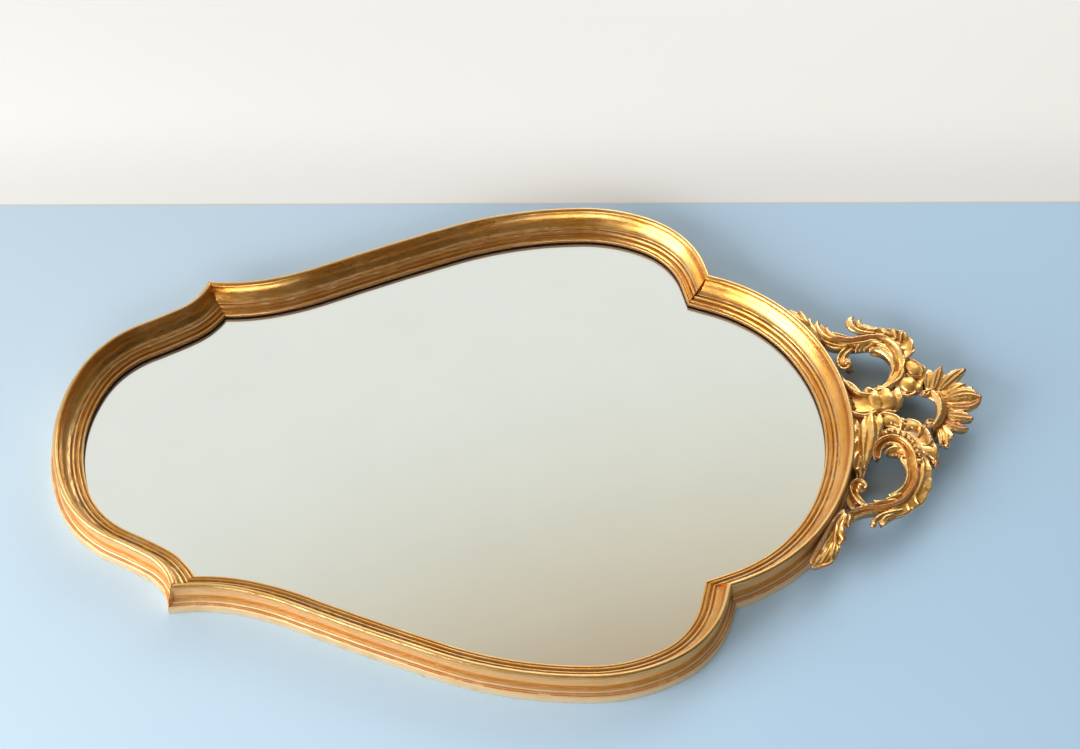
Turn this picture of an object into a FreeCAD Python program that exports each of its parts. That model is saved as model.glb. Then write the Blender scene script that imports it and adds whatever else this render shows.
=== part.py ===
"""Scalloped wall mirror, lying on its back.

The glass faces +Z, the carved crest points along +X, and the back of the frame lies on z = 0.
The moulding follows the sight edge of the glass, which is drawn in tangent arcs with two cusps a side.
"""
import FreeCAD, Part
import math
import os
from FreeCAD import Matrix, Vector

# Sight edge of the glass, from the lowest point of the bottom arch to the highest of the top arch
sight_length = 755.0
cusp_run = 26.4                     # straight run on both sides of each shoulder cusp

# Moulding section
moulding_width = 33.2
moulding_height = 36.3
lip_thickness = 4.0                 # wood in front of the glass
rebate_width = 8.0

# Glass and back board
board_recess = 1.8                  # board's back, in from the back of the frame
board_thickness = 3.0
glass_thickness = 4.0
edge_clearance = 1.5                # round the glass and the board, in the rebate
brad_radius = 0.6
brad_length = 14.0
brad_bite = 9.0                     # length of a brad inside the rebate wall

# Mitre splines
spline_length = 10.0
spline_margin = 4.85                # wood left on both sides of a spline, across the moulding's back
spline_thickness = 3.0
spline_height = 7.0                 # lower face, above the back

# Crest
crest_size = 100.0                 # the crest's outlines are drawn in shares of this
core_back = 2.0
core_front = 29.0
scroll_back = 13.0
scroll_front = 25.0
fan_back = 17.0
fan_front = 31.0
leaf_back = 5.0
leaf_front = 27.0
rim_radius = 4.2
rim_height = 28.0                   # middle of a scroll's rounded rim, above the back
fan_rim_height = 34.0
volute_radius = 7.0
fold_radius = 6.0
fold_height = 27.0
rib_radius = 4.0
rib_height = 30.0

# Crest fixings
dowel_radius = 3.0
dowel_length = 26.0
dowel_height = 10.5
dowel_spread = 16.0                 # between the two dowels
strap_width = 16.0
strap_length = 38.0
strap_thickness = 2.0
strap_spread = 30.0                 # between the two straps
strap_overlap = 20.0                # length of a strap on the top rail
strap_end = 6.0                     # from a strap's end to its screw
wood_screw_radius = 1.6
wood_screw_length = 14.0
countersink_radius = 3.2

# Hangers
hanger_wire = 2.2
hanger_ring_width = 12.4            # between the middles of the ring's two arms
hanger_arm = 4.0
hanger_bend = 1.6                   # middle radius of the bends between the ring's bar and its arms
hanger_gauge = 1.2
hanger_width = 8.6
hanger_length = 32.0
hanger_clearance = 0.1              # round the ring's bar in its knuckle
hanger_screw_start = 17.0           # from the ring's bar to the first screw
hanger_screw_pitch = 10.0
hanger_screw_length = 14.0
hanger_head_radius = 3.0
hanger_head_height = 1.6
pocket_width = 16.0
pocket_clearance = 2.0              # beyond the ring and the strap, along the pocket

overrun = 5.0                       # every cut runs this far past its solid
same_way = 1e-7                     # headings closer than this are parallel

# Sight edge as shares of its length (along, across) and headings in degrees from +X
low_arch_shares = (0.0773, 0.1481)
low_arch_heading = 26.2
low_cusp_shares = (0.1703, 0.2184)
low_cusp_headings = (60.9, -1.4)
waist_shares = (0.3183, 0.2508)
waist_heading = 23.3
belly_shares = (0.6776, 0.3551)
shoulder_shares = (0.8265, 0.2325)
shoulder_headings = (-76.4, -20.7)

# Moulding section: shares of its width and of its rise above the lip, and the bow of the next arc
face_shares = (
    (0.000, 0.000, 0.00),
    (0.066, 0.000, 0.50),
    (0.229, 0.068, 0.50),
    (0.346, 0.153, 0.00),
    (0.422, 0.196, -0.27),
    (0.675, 0.906, 0.00),
)
# Outer side: shares of the moulding's width and of its height above the back
side_shares = (
    (0.813, 0.956, 0.00),
    (0.813, 0.917, -0.17),
    (0.789, 0.331, 0.00),
    (0.801, 0.309, 0.00),
    (0.952, 0.300, 0.35),
    (1.000, 0.256, 0.00),
)

# Crest outlines: shares of the crest's size, along from the outer edge of the top rail and across from
# the middle, and the bow of the next arc to the left; each outline is walked clockwise
core_shares = (
    (-0.12, 0.64, -0.15), (-0.01, 0.46, -0.20), (0.10, 0.40, 0.40), (0.19, 0.45, -0.20), (0.28, 0.43, 0.20),
    (0.39, 0.48, 0.00), (0.55, 0.47, 0.00), (0.70, 0.48, 0.10), (0.77, 0.38, 0.00), (0.74, 0.31, -0.15),
    (0.53, 0.31, -0.25), (0.40, 0.18, -0.25), (0.49, 0.04, -0.10), (0.61, -0.02, -0.10),
    (0.70, -0.05, 0.20), (0.77, -0.12, 0.20), (0.81, -0.28, 0.30), (0.75, -0.42, 0.30),
    (0.71, -0.57, 0.30), (0.63, -0.49, 0.00), (0.56, -0.44, -0.15), (0.44, -0.21, -0.20),
    (0.28, -0.15, -0.25), (0.13, -0.27, -0.15), (0.11, -0.43, 0.20), (0.05, -0.48, 0.10),
    (-0.01, -0.62, 0.20), (-0.12, -0.62, 0.00),
)
left_scroll_shares = (
    (-0.26, 1.13, 0.00), (-0.18, 1.25, -0.10), (-0.02, 1.17, -0.10), (0.04, 1.19, 0.10), (0.00, 1.31, 0.50),
    (0.07, 1.40, 0.30), (0.12, 1.33, -0.10), (0.20, 1.24, 0.00), (0.34, 1.24, 0.25), (0.46, 1.21, 0.30),
    (0.59, 1.22, 0.30), (0.66, 1.11, 0.25), (0.68, 0.90, 0.20), (0.73, 0.78, 0.35), (0.71, 0.62, 0.35),
    (0.66, 0.45, 0.20), (0.55, 0.44, 0.20), (0.46, 0.47, 0.10), (0.39, 0.43, 0.30), (0.34, 0.50, -0.10),
    (0.41, 0.62, -0.20), (0.40, 0.80, -0.25), (0.25, 0.90, -0.15), (0.06, 0.92, -0.30),
    (0.04, 0.80, 0.30), (0.01, 0.64, 0.50), (-0.10, 0.66, 0.30), (-0.16, 0.80, 0.10), (-0.22, 0.98, 0.00),
)
right_scroll_shares = (
    (0.09, -0.43, 0.25), (0.18, -0.17, 0.30), (0.46, -0.18, 0.20), (0.58, -0.44, 0.00),
    (0.64, -0.50, 0.20), (0.64, -0.76, 0.15), (0.54, -0.98, 0.15), (0.39, -1.10, 0.00),
    (0.24, -1.19, 0.25), (0.14, -1.26, 0.20), (0.10, -1.22, 0.00), (0.03, -1.28, 0.60),
    (0.01, -1.20, 0.00), (0.11, -1.11, 0.00), (0.04, -1.09, -0.10), (-0.16, -1.19, 0.10),
    (-0.26, -1.22, 0.00), (-0.22, -1.08, 0.00), (-0.10, -1.00, 0.10), (-0.15, -0.90, 0.20),
    (-0.13, -0.74, 0.50), (0.00, -0.75, 0.60), (-0.04, -0.86, -0.20), (0.01, -0.98, 0.00),
    (0.18, -0.98, 0.00), (0.22, -0.91, -0.20), (0.41, -0.74, -0.25), (0.36, -0.46, -0.25),
    (0.19, -0.39, 0.10), (0.13, -0.46, 0.20),
)
fan_shares = (
    (0.68, 0.42, 0.20), (0.69, 0.58, 0.20), (0.75, 0.68, 0.10), (0.81, 0.66, 0.10), (0.88, 0.74, 0.10),
    (0.93, 0.61, 0.00), (1.03, 0.64, 0.10), (1.15, 0.66, 0.10), (1.11, 0.53, 0.10), (1.18, 0.45, 0.10),
    (1.30, 0.32, 0.15), (1.16, 0.18, 0.00), (1.03, 0.12, 0.00), (1.15, 0.03, 0.15),
    (1.03, -0.08, 0.10), (0.96, -0.20, 0.10), (0.89, -0.32, 0.40), (0.81, -0.26, 0.10),
    (0.75, -0.12, 0.00), (0.68, -0.05, 0.50), (0.75, 0.04, -0.10), (0.82, 0.12, -0.15),
    (0.81, 0.27, -0.10), (0.75, 0.35, 0.00),
)
left_leaf_shares = (
    (-0.59, 1.47, 0.20), (-0.45, 1.49, 0.20), (-0.38, 1.36, 0.00), (-0.30, 1.36, 0.30),
    (-0.24, 1.26, 0.00), (-0.18, 1.25, 0.20), (-0.15, 1.17, 0.00), (-0.22, 1.06, 0.00),
    (-0.42, 1.00, 0.00), (-0.72, 1.40, 0.00),
)
right_leaf_shares = (
    (-0.72, -1.40, 0.00), (-0.42, -1.00, 0.00), (-0.24, -1.08, 0.00), (-0.18, -1.17, 0.00),
    (-0.23, -1.28, 0.30), (-0.29, -1.42, 0.20), (-0.39, -1.50, 0.20), (-0.45, -1.66, 0.15),
    (-0.64, -1.74, 0.20),
)
# Rounded rims, as paths of arcs in the same shares
left_rim_shares = (
    (-0.17, 1.12, -0.10), (0.13, 1.10, 0.10), (0.38, 1.06, 0.30), (0.53, 0.78, 0.30), (0.38, 0.51, 0.00),
)
right_rim_shares = (
    (0.13, -0.38, 0.35), (0.29, -0.19, 0.30), (0.52, -0.40, 0.25), (0.50, -0.80, 0.20),
    (0.26, -1.03, 0.00), (-0.08, -1.05, 0.00),
)
fan_rim_shares = ((0.75, 0.41, 0.30), (0.90, 0.22, 0.30), (0.78, -0.03, 0.00))
volute_shares = {"left": (-0.04, 0.76), "right": (-0.06, -0.79)}
# Rounded folds of the core and ribs of the fan, as paths in the same shares
fold_shares = (
    ((-0.05, 0.44, 0.20), (0.18, 0.32, 0.00), (0.38, 0.37, 0.10), (0.60, 0.40, 0.00)),
    ((-0.02, 0.24, -0.20), (0.13, 0.14, 0.00), (0.30, 0.20, 0.00)),
    ((-0.02, -0.50, -0.10), (0.04, -0.10, 0.25), (0.28, 0.00, 0.10), (0.50, -0.06, 0.15),
     (0.66, -0.22, 0.10), (0.71, -0.45, 0.00)),
)
rib_shares = (
    ((0.76, 0.50, 0.00), (0.86, 0.66, 0.00)),
    ((0.86, 0.44, 0.10), (1.09, 0.59, 0.00)),
    ((0.94, 0.33, 0.10), (1.11, 0.46, 0.00)),
    ((0.95, 0.22, 0.10), (1.24, 0.32, 0.00)),
    ((0.92, 0.05, 0.10), (1.09, 0.03, 0.00)),
    ((0.82, -0.08, 0.10), (0.88, -0.25, 0.00)),
)

# Worked-out places
lip_back = board_recess + board_thickness + glass_thickness
lip_front = lip_back + lip_thickness
crest_root = sight_length + moulding_width
crest_reach = crest_root + crest_size * max(point[0] for point in fan_shares)
middle = (crest_reach - moulding_width) / 2
land_middle = (rebate_width + moulding_width) / 2
spline_width = moulding_width - rebate_width - 2 * spline_margin
pocket_depth = 2 * (hanger_gauge + hanger_clearance + hanger_wire / 2) + hanger_clearance
bar_height = pocket_depth - hanger_gauge - hanger_clearance - hanger_wire / 2


def heading(degrees):
    """Unit vector in the plane of the frame."""
    angle = math.radians(degrees)
    return Vector(math.cos(angle), math.sin(angle), 0)


def left_of(direction):
    return Vector(-direction.y, direction.x, 0)


def at_share(shares):
    """Point of the sight edge."""
    return Vector(shares[0] * sight_length, shares[1] * sight_length, 0)


def solve_meeting(point_a, direction_a, point_b, direction_b):
    """Where two lines in the plane cross."""
    cross = direction_a.x * direction_b.y - direction_a.y * direction_b.x
    gap = point_b - point_a
    return point_a + direction_a * ((gap.x * direction_b.y - gap.y * direction_b.x) / cross)


def biarc(start, start_direction, end, end_direction):
    """Two tangent arcs between two points with headings, each as (start, heading, end, heading)."""
    chord = end - start
    both = start_direction + end_direction
    spread = 2 * (1 - start_direction.dot(end_direction))
    reach = chord.dot(both)
    if spread < same_way:
        arm = chord.dot(chord) / (4 * chord.dot(end_direction))
    else:
        arm = (math.sqrt(reach * reach + spread * chord.dot(chord)) - reach) / spread
    joint = (start + start_direction * arm + end - end_direction * arm) * 0.5
    along = (end - start + end_direction * -arm + start_direction * -arm).normalize()
    return [(start, start_direction, joint, along), (joint, along, end, end_direction)]


def half_outline():
    """The left half of the sight edge: spans of the bottom, side and top stretches."""
    start = Vector(0, 0, 0)
    end = Vector(sight_length, 0, 0)
    arch = at_share(low_arch_shares)
    cusp = at_share(low_cusp_shares)
    waist = at_share(waist_shares)
    belly = at_share(belly_shares)
    shoulder = at_share(shoulder_shares)
    into_low, out_low = [heading(angle) for angle in low_cusp_headings]
    into_top, out_top = [heading(angle) for angle in shoulder_headings]
    arch_way, waist_way, belly_way = heading(low_arch_heading), heading(waist_heading), heading(0)
    before = shoulder - into_top * cusp_run
    after = shoulder + out_top * cusp_run
    bottom = biarc(start, heading(90), arch, arch_way) + biarc(arch, arch_way, cusp, into_low)
    side = biarc(cusp, out_low, waist, waist_way) + biarc(waist, waist_way, belly, belly_way)
    side = side + biarc(belly, belly_way, before, into_top) + [(before, into_top, shoulder, into_top)]
    top = [(shoulder, out_top, after, out_top)] + biarc(after, out_top, end, heading(-90))
    return bottom, side, top


def span_edge(span, offset):
    """One span, moved outwards by the offset."""
    start, start_way, end, end_way = span
    first = start + left_of(start_way) * offset
    last = end + left_of(end_way) * offset
    if start_way.getAngle(end_way) < same_way:
        return Part.LineSegment(first, last).toShape()
    return Part.Arc(first, first + (last - first) * 0.5 + bow_of(first, start_way, last), last).toShape()


def bow_of(first, way, last):
    """From the middle of a chord to the middle of the arc that leaves its start along a heading."""
    chord = last - first
    turn = math.atan2(chord.x * way.y - chord.y * way.x, chord.dot(way))
    return left_of(chord) * (0.5 * math.tan(turn / 2))


def mitre_point(before, after, offset):
    """Where the offset lines of two stretches meet at their cusp."""
    corner = before[-1][2]
    way_in, way_out = before[-1][3], after[0][1]
    return solve_meeting(corner + left_of(way_in) * offset, way_in,
                         corner + left_of(way_out) * offset, way_out)


def joined(points):
    """Straight edges through the points, without the empty ones."""
    pairs = zip(points, points[1:])
    return [Part.LineSegment(a, b).toShape() for a, b in pairs if a.distanceToPoint(b) > same_way]


def outline_face(offset):
    """Face inside the sight edge moved outwards by the offset."""
    bottom, side, top = half_outline()
    low, high = mitre_point(bottom, side, offset), mitre_point(side, top, offset)
    low_arcs = [span_edge(span, offset) for span in bottom]
    side_arcs = [span_edge(span, offset) for span in side[:-1]]
    top_arcs = [span_edge(span, offset) for span in top[1:]]
    edges = low_arcs + joined([low_arcs[-1].Vertexes[-1].Point, low, side_arcs[0].Vertexes[0].Point])
    edges += side_arcs + joined([side_arcs[-1].Vertexes[-1].Point, high, top_arcs[0].Vertexes[0].Point])
    edges += top_arcs
    mirrored = [edge.mirror(Vector(0, 0, 0), Vector(0, 1, 0)) for edge in edges]
    return Part.Face(Part.Wire(Part.__sortEdges__(edges + mirrored)))


def bowed_edge(first, last, bow):
    """Line or arc in the XY plane; a bow above zero swells to the left of the walk."""
    if bow == 0:
        return Part.LineSegment(first, last).toShape()
    return Part.Arc(first, (first + last) * 0.5 + left_of(last - first) * (0.5 * bow), last).toShape()


def section_face():
    """Moulding section: X is the distance out from the sight edge, Y the height."""
    rise = moulding_height - lip_front
    face = [(Vector(out * moulding_width, lip_front + up * rise, 0), bow) for out, up, bow in face_shares]
    side = [(Vector(out * moulding_width, up * moulding_height, 0), bow) for out, up, bow in side_shares]
    ridge_in, ridge_out = face[-1][0], side[0][0]
    ridge_top = Vector((ridge_in.x + ridge_out.x) / 2, moulding_height, 0)
    edges = [bowed_edge(a, b, bow) for (a, bow), (b, _) in zip(face, face[1:])]
    edges.append(Part.Arc(ridge_in, ridge_top, ridge_out).toShape())
    edges += [bowed_edge(a, b, bow) for (a, bow), (b, _) in zip(side, side[1:])]
    back = [side[-1][0], Vector(moulding_width, 0, 0), Vector(rebate_width, 0, 0)]
    back += [Vector(rebate_width, lip_back, 0), Vector(0, lip_back, 0), face[0][0]]
    return Part.Face(Part.Wire(edges + joined(back)))


def placed_at(section, point, way):
    """The section stood across a heading, its X turned outwards and its Y upwards."""
    out = left_of(way)
    placed = section.copy()
    placed.Placement = FreeCAD.Placement(Matrix(out.x, 0, way.x, point.x,
                                                out.y, 0, way.y, point.y,
                                                0, 1, 0, point.z,
                                                0, 0, 0, 1))
    return placed


def carried_faces(section, span):
    """Faces left by the edges of the section along one span."""
    start, way, end, end_way = span
    edges = placed_at(section, start, way).Edges
    chord = end - start
    if way.getAngle(end_way) < same_way:
        return [edge.extrude(chord) for edge in edges]
    half_turn = math.atan2(way.x * chord.y - way.y * chord.x, way.dot(chord))
    centre = start + left_of(way) * (chord.Length / (2 * math.sin(half_turn)))
    turn = math.degrees(2 * half_turn)
    return [edge.revolve(centre, Vector(0, 0, 1), turn) for edge in edges]


def past_mitre(before, after, past_end):
    """Block on one side of the mitre plane of a cusp: past the end of one stretch, or before the other."""
    corner = before[-1][2]
    mitre = (mitre_point(before, after, moulding_width) - corner).normalize()
    way = before[-1][3] if past_end else after[0][1] * -1
    away = (way - mitre * way.dot(mitre)).normalize()
    reach = 3 * moulding_width
    start = corner - mitre * overrun - Vector(0, 0, overrun)
    base = Part.makePolygon([start, start + mitre * reach, start + (mitre + away) * reach,
                             start + away * reach, start])
    return Part.Face(base).extrude(Vector(0, 0, moulding_height + 2 * overrun))


def chain_solid(section, spans, ends):
    """The section along a chain of spans, closed by the end faces where it isn't a ring."""
    faces = list(ends)
    for span in spans:
        faces += carried_faces(section, span)
    shell = Part.makeShell(Part.makeCompound(faces).Faces)
    shell.sewShape()
    solid = Part.makeSolid(shell)
    if solid.Volume < 0:
        solid.reverse()
    return solid


def stretch_solid(spans):
    """The moulding along a stretch of the outline."""
    section, first, last = section_face(), spans[0], spans[-1]
    ends = [placed_at(section, first[0], first[1]), placed_at(section, last[2], last[3])]
    return chain_solid(section, spans, ends)


def flipped(spans):
    """The same stretch on the other half, walked so that outwards stays on the left."""
    def other(vector):
        return Vector(vector.x, -vector.y, 0)
    return [(other(end), other(end_way) * -1, other(start), other(way) * -1)
            for start, way, end, end_way in reversed(spans)]


def run_on(spans, at_start, at_end):
    """Carry a stretch straight on past its cusps, so that its mitre planes cut it whole."""
    length = moulding_width + overrun
    first, last = spans[0], spans[-1]
    more = list(spans)
    if at_start:
        more.insert(0, (first[0] - first[1] * length, first[1], first[0], first[1]))
    if at_end:
        more.append((last[2], last[3], last[2] + last[3] * length, last[3]))
    return more


def mirrored(shape):
    return shape.mirror(Vector(0, 0, 0), Vector(0, 1, 0))


def rails():
    """Bottom, left, right and top rails, mitred at the cusps."""
    bottom, side, top = half_outline()
    past_low, before_low = past_mitre(bottom, side, True), past_mitre(bottom, side, False)
    past_high, before_high = past_mitre(side, top, True), past_mitre(side, top, False)
    low = stretch_solid(run_on(flipped(bottom) + bottom, True, True)).cut([past_low, mirrored(past_low)])
    left = stretch_solid(run_on(side, True, False)).cut([before_low, past_high])
    high = stretch_solid(top + flipped(top)).cut([before_high, mirrored(before_high)])
    return {"bottom_rail": low, "left_side_rail": left, "right_side_rail": mirrored(left), "top_rail": high}


def slab(offset, back, thickness):
    face = outline_face(offset)
    face.translate(Vector(0, 0, back))
    return face.extrude(Vector(0, 0, thickness))


def mitre_splines():
    """One loose spline across each of the four mitres."""
    bottom, side, top = half_outline()
    splines = []
    for before, after in ((bottom, side), (side, top)):
        corner = before[-1][2]
        reach = mitre_point(before, after, land_middle) - corner
        box = Part.makeBox(spline_length, spline_width, spline_thickness,
                           Vector(-spline_length / 2, -spline_width / 2, spline_height))
        box.rotate(Vector(0, 0, 0), Vector(0, 0, 1), math.degrees(math.atan2(reach.y, reach.x)))
        box.translate(corner + reach)
        splines += [box, mirrored(box)]
    return splines


def brads():
    """Brads that hold the board, along all stretches, each against the board's back."""
    pins = []
    bottom, side, top = half_outline()
    for span in [bottom[0], bottom[1], side[1], side[2], side[3], side[4], top[1], top[2]]:
        edge = span_edge(span, rebate_width + brad_bite)
        at = edge.valueAt((edge.FirstParameter + edge.LastParameter) / 2)
        along = edge.tangentAt((edge.FirstParameter + edge.LastParameter) / 2)
        if along.dot(span[1] + span[3]) < 0:
            along = along * -1
        tip = at + Vector(0, 0, board_recess - brad_radius)
        pin = Part.makeCylinder(brad_radius, brad_length, tip, left_of(along) * -1)
        pins += [pin, mirrored(pin)]
    return pins


def crest_point(shares):
    return Vector(crest_root + shares[0] * crest_size, shares[1] * crest_size, 0)


def crest_edges(shares, closed):
    points = list(shares) + ([shares[0]] if closed else [])
    return [bowed_edge(crest_point(a), crest_point(b), a[2]) for a, b in zip(points, points[1:])]


def crest_block(shares, back, front):
    face = Part.Face(Part.Wire(crest_edges(shares, True)))
    face.translate(Vector(0, 0, back))
    return face.extrude(Vector(0, 0, front - back))


def ball(at, radius, height):
    return Part.makeSphere(radius, Vector(at.x, at.y, height))


def rim(shares, radius, height):
    """Round bead along a path of arcs, closed by a ball at each joint."""
    solids = []
    for edge in crest_edges(shares, False):
        start, end = edge.Vertexes[0].Point, edge.Vertexes[-1].Point
        solids.append(ball(start, radius, height))
        up = Vector(0, 0, height)
        if edge.Curve.TypeId == "Part::GeomLine":
            solids.append(Part.makeCylinder(radius, (end - start).Length, start + up, end - start))
            continue
        way = edge.tangentAt(edge.FirstParameter)
        circle = Part.Face(Part.Wire(Part.makeCircle(radius, start + up, way)))
        centre, axis = edge.Curve.Center, edge.Curve.Axis
        sweep = math.degrees(edge.LastParameter - edge.FirstParameter)
        solids.append(circle.revolve(centre, axis, sweep))
    solids.append(ball(end, radius, height))
    return solids


def crest(top_rail):
    """Carved blocks of the crest, each cut to the frame and to the blocks that it meets."""
    ridge_out = side_shares[0][0] * moulding_width
    frame = slab(ridge_out, -overrun, scroll_front + moulding_height).fuse(top_rail)
    fan = crest_block(fan_shares, fan_back, fan_front)
    ribs = [solid for path in rib_shares for solid in rim(path, rib_radius, rib_height)]
    fan = fan.fuse(rim(fan_rim_shares, rim_radius, fan_rim_height) + ribs)
    blocks = {"crest_fan": fan}
    scrolls = {"left": (left_scroll_shares, left_rim_shares), "right": (right_scroll_shares, right_rim_shares)}
    for side, (outline, path) in scrolls.items():
        block = crest_block(outline, scroll_back, scroll_front)
        bead = rim(path, rim_radius, rim_height)
        bead.append(ball(crest_point(volute_shares[side]), volute_radius, scroll_front))
        blocks["crest_%s_scroll" % side] = block.fuse(bead).cut([frame, fan])
    neighbours = [frame, fan, blocks["crest_left_scroll"], blocks["crest_right_scroll"]]
    core = crest_block(core_shares, core_back, core_front)
    core = core.fuse([solid for path in fold_shares for solid in rim(path, fold_radius, fold_height)])
    blocks["crest_core"] = core.cut(neighbours)
    for side, outline in (("left", left_leaf_shares), ("right", right_leaf_shares)):
        leaf = crest_block(outline, leaf_back, leaf_front)
        blocks["crest_%s_leaf" % side] = leaf.cut(neighbours + [blocks["crest_core"]])
    return blocks


def dowels():
    start = crest_root - dowel_length / 2
    return [Part.makeCylinder(dowel_radius, dowel_length, Vector(start, across, dowel_height), Vector(1, 0, 0))
            for across in (-dowel_spread / 2, dowel_spread / 2)]


def wood_screw(at):
    """Countersunk screw driven in along +Z, its head flush with the strap's back."""
    head = Part.makeCone(countersink_radius, wood_screw_radius, strap_thickness, at)
    shank = Part.makeCylinder(wood_screw_radius, wood_screw_length, at)
    return head.fuse(shank).removeSplitter()


def crest_fixings():
    """Straps let into the backs of the top rail and the crest, and their screws."""
    straps, screws = [], []
    start = crest_root - strap_overlap
    for across in (-strap_spread / 2, strap_spread / 2):
        corner = Vector(start, across - strap_width / 2, 0)
        own = [wood_screw(Vector(start + along, across, 0)) for along in (strap_end, strap_length - strap_end)]
        straps.append(Part.makeBox(strap_length, strap_width, strap_thickness, corner).cut(own))
        screws += own
    return straps, screws


def hanger_parts(side):
    """Strap, ring and screws of one hanger on a side rail; side is 1 on the left, -1 on the right."""
    belly = at_share(belly_shares)
    bar = Vector(belly.x, side * (belly.y + land_middle), bar_height)
    across, wire = Vector(0, 1, 0), hanger_wire / 2
    bore = wire + hanger_clearance
    knuckle_start = bar - across * (hanger_width / 2)
    knuckle = Part.makeCylinder(bore + hanger_gauge, hanger_width, knuckle_start, across)
    plate = Part.makeBox(hanger_length, hanger_width, hanger_gauge,
                         Vector(bar.x - hanger_length, knuckle_start.y, pocket_depth - hanger_gauge))
    places = [bar.x - hanger_screw_start - step * hanger_screw_pitch for step in range(2)]
    face = pocket_depth - hanger_gauge
    screws = []
    for along in places:
        shank = Part.makeCylinder(wood_screw_radius, hanger_screw_length, Vector(along, bar.y, face))
        head = Part.makeCylinder(hanger_head_radius, hanger_head_height,
                                 Vector(along, bar.y, face - hanger_head_height))
        screws.append(head.fuse(shank).removeSplitter())
    strap = knuckle.fuse(plate).cut([Part.makeCylinder(bore, hanger_width, knuckle_start, across)] + screws)
    half = hanger_ring_width / 2
    bend, arm = Vector(hanger_bend, 0, 0), Vector(hanger_arm, 0, 0)
    inner, outer = across * (half - hanger_bend), across * half
    out, back = Vector(1, 0, 0), Vector(-1, 0, 0)
    loop = [(bar - inner, across, bar + inner, across), (bar + inner, across, bar + outer + bend, out),
            (bar + outer + bend, out, bar + outer + arm, out), (bar + outer + arm, out, bar - outer + arm, back),
            (bar - outer + arm, back, bar - outer + bend, back), (bar - outer + bend, back, bar - inner, across)]
    ring = chain_solid(Part.Wire(Part.makeCircle(wire)), loop, [])
    reach = hanger_arm + half + wire + pocket_clearance
    length = reach + hanger_length + pocket_clearance
    pocket = Part.makeBox(length, pocket_width, pocket_depth + overrun,
                          Vector(bar.x + reach - length, bar.y - pocket_width / 2, -overrun))
    return strap, ring, screws, pocket


def build():
    nodes = rails()
    nodes.update(crest(nodes["top_rail"]))
    inset = rebate_width - edge_clearance
    board = slab(inset, board_recess, board_thickness)
    glass = slab(inset, board_recess + board_thickness, glass_thickness)
    pins, splines, pegs = brads(), mitre_splines(), dowels()
    straps, screws = crest_fixings()
    hung = {"left": hanger_parts(1), "right": hanger_parts(-1)}
    for name in ("bottom_rail", "left_side_rail", "right_side_rail", "top_rail"):
        nodes[name] = nodes[name].cut(pins + splines)
    for name in ("top_rail", "crest_core", "crest_left_scroll", "crest_right_scroll"):
        nodes[name] = nodes[name].cut(pegs + straps + screws)
    hanger_screws = []
    for side, (strap, ring, own, pocket) in hung.items():
        name = "%s_side_rail" % side
        nodes[name] = nodes[name].cut([pocket] + own)
        nodes["%s_hanger_strap" % side] = strap
        nodes["%s_hanger_ring" % side] = ring
        hanger_screws += own
    nodes["mirror_glass"] = glass
    nodes["back_board"] = board
    nodes["board_brads"] = Part.makeCompound(pins)
    nodes["mitre_splines"] = Part.makeCompound(splines)
    nodes["crest_dowels"] = Part.makeCompound(pegs)
    nodes["crest_straps"] = Part.makeCompound(straps)
    nodes["crest_screws"] = Part.makeCompound(screws)
    nodes["hanger_screws"] = Part.makeCompound(hanger_screws)
    return nodes


def main():
    os.makedirs("parts", exist_ok=True)
    for name, shape in build().items():
        shape.translate(Vector(-middle, 0, 0))
        shape.exportStep("parts/%s.step" % name)
        box = shape.BoundBox
        print("%-20s solids %2d  volume %9.0f  valid %s  x %.1f %.1f  y %.1f %.1f  z %.1f %.1f" % (
            name, len(shape.Solids), shape.Volume, shape.isValid(), box.XMin, box.XMax,
            box.YMin, box.YMax, box.ZMin, box.ZMax))


main()
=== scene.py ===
"""Scalloped wall mirror with a carved crest, lying on its back on a table."""
import math
from functools import partial

import bmesh
import bpy
import numpy as np
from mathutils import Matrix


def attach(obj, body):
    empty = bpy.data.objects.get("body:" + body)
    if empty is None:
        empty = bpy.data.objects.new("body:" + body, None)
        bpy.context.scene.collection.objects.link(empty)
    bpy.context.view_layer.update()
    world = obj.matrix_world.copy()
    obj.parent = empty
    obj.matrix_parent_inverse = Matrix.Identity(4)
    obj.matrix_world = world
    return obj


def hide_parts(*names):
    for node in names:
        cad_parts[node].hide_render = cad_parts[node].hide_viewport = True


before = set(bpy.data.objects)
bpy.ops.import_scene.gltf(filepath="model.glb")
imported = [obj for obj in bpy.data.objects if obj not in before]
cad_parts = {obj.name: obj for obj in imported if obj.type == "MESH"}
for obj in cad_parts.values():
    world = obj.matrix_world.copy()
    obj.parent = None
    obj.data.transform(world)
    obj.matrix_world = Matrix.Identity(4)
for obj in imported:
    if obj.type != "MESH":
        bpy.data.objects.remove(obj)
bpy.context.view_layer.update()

import openvdb
from mathutils import Matrix, Vector
from mathutils.kdtree import KDTree

MM = 0.001

# Sizes in mm, as in the part's source
SIGHT_LENGTH = 755.0
CUSP_RUN = 26.4
MOULDING_WIDTH = 33.2
MOULDING_HEIGHT = 36.3
LIP_BACK = 8.8
LIP_FRONT = 12.8
REBATE_WIDTH = 8.0
MIDDLE = 442.5                      # from the sight edge's lowest point to the row frame's origin
POCKET = ((35.09, 280.7), (82.39, 296.7))       # row x and y of the left hanger's pocket
POCKET_DEPTH = 4.9
SEAT = ((325.7, 7.0), (350.7, 23.0))            # and of the left crest strap's seat in the top rail
SEAT_DEPTH = 2.0
CUT_PAST = 5.0

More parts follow.
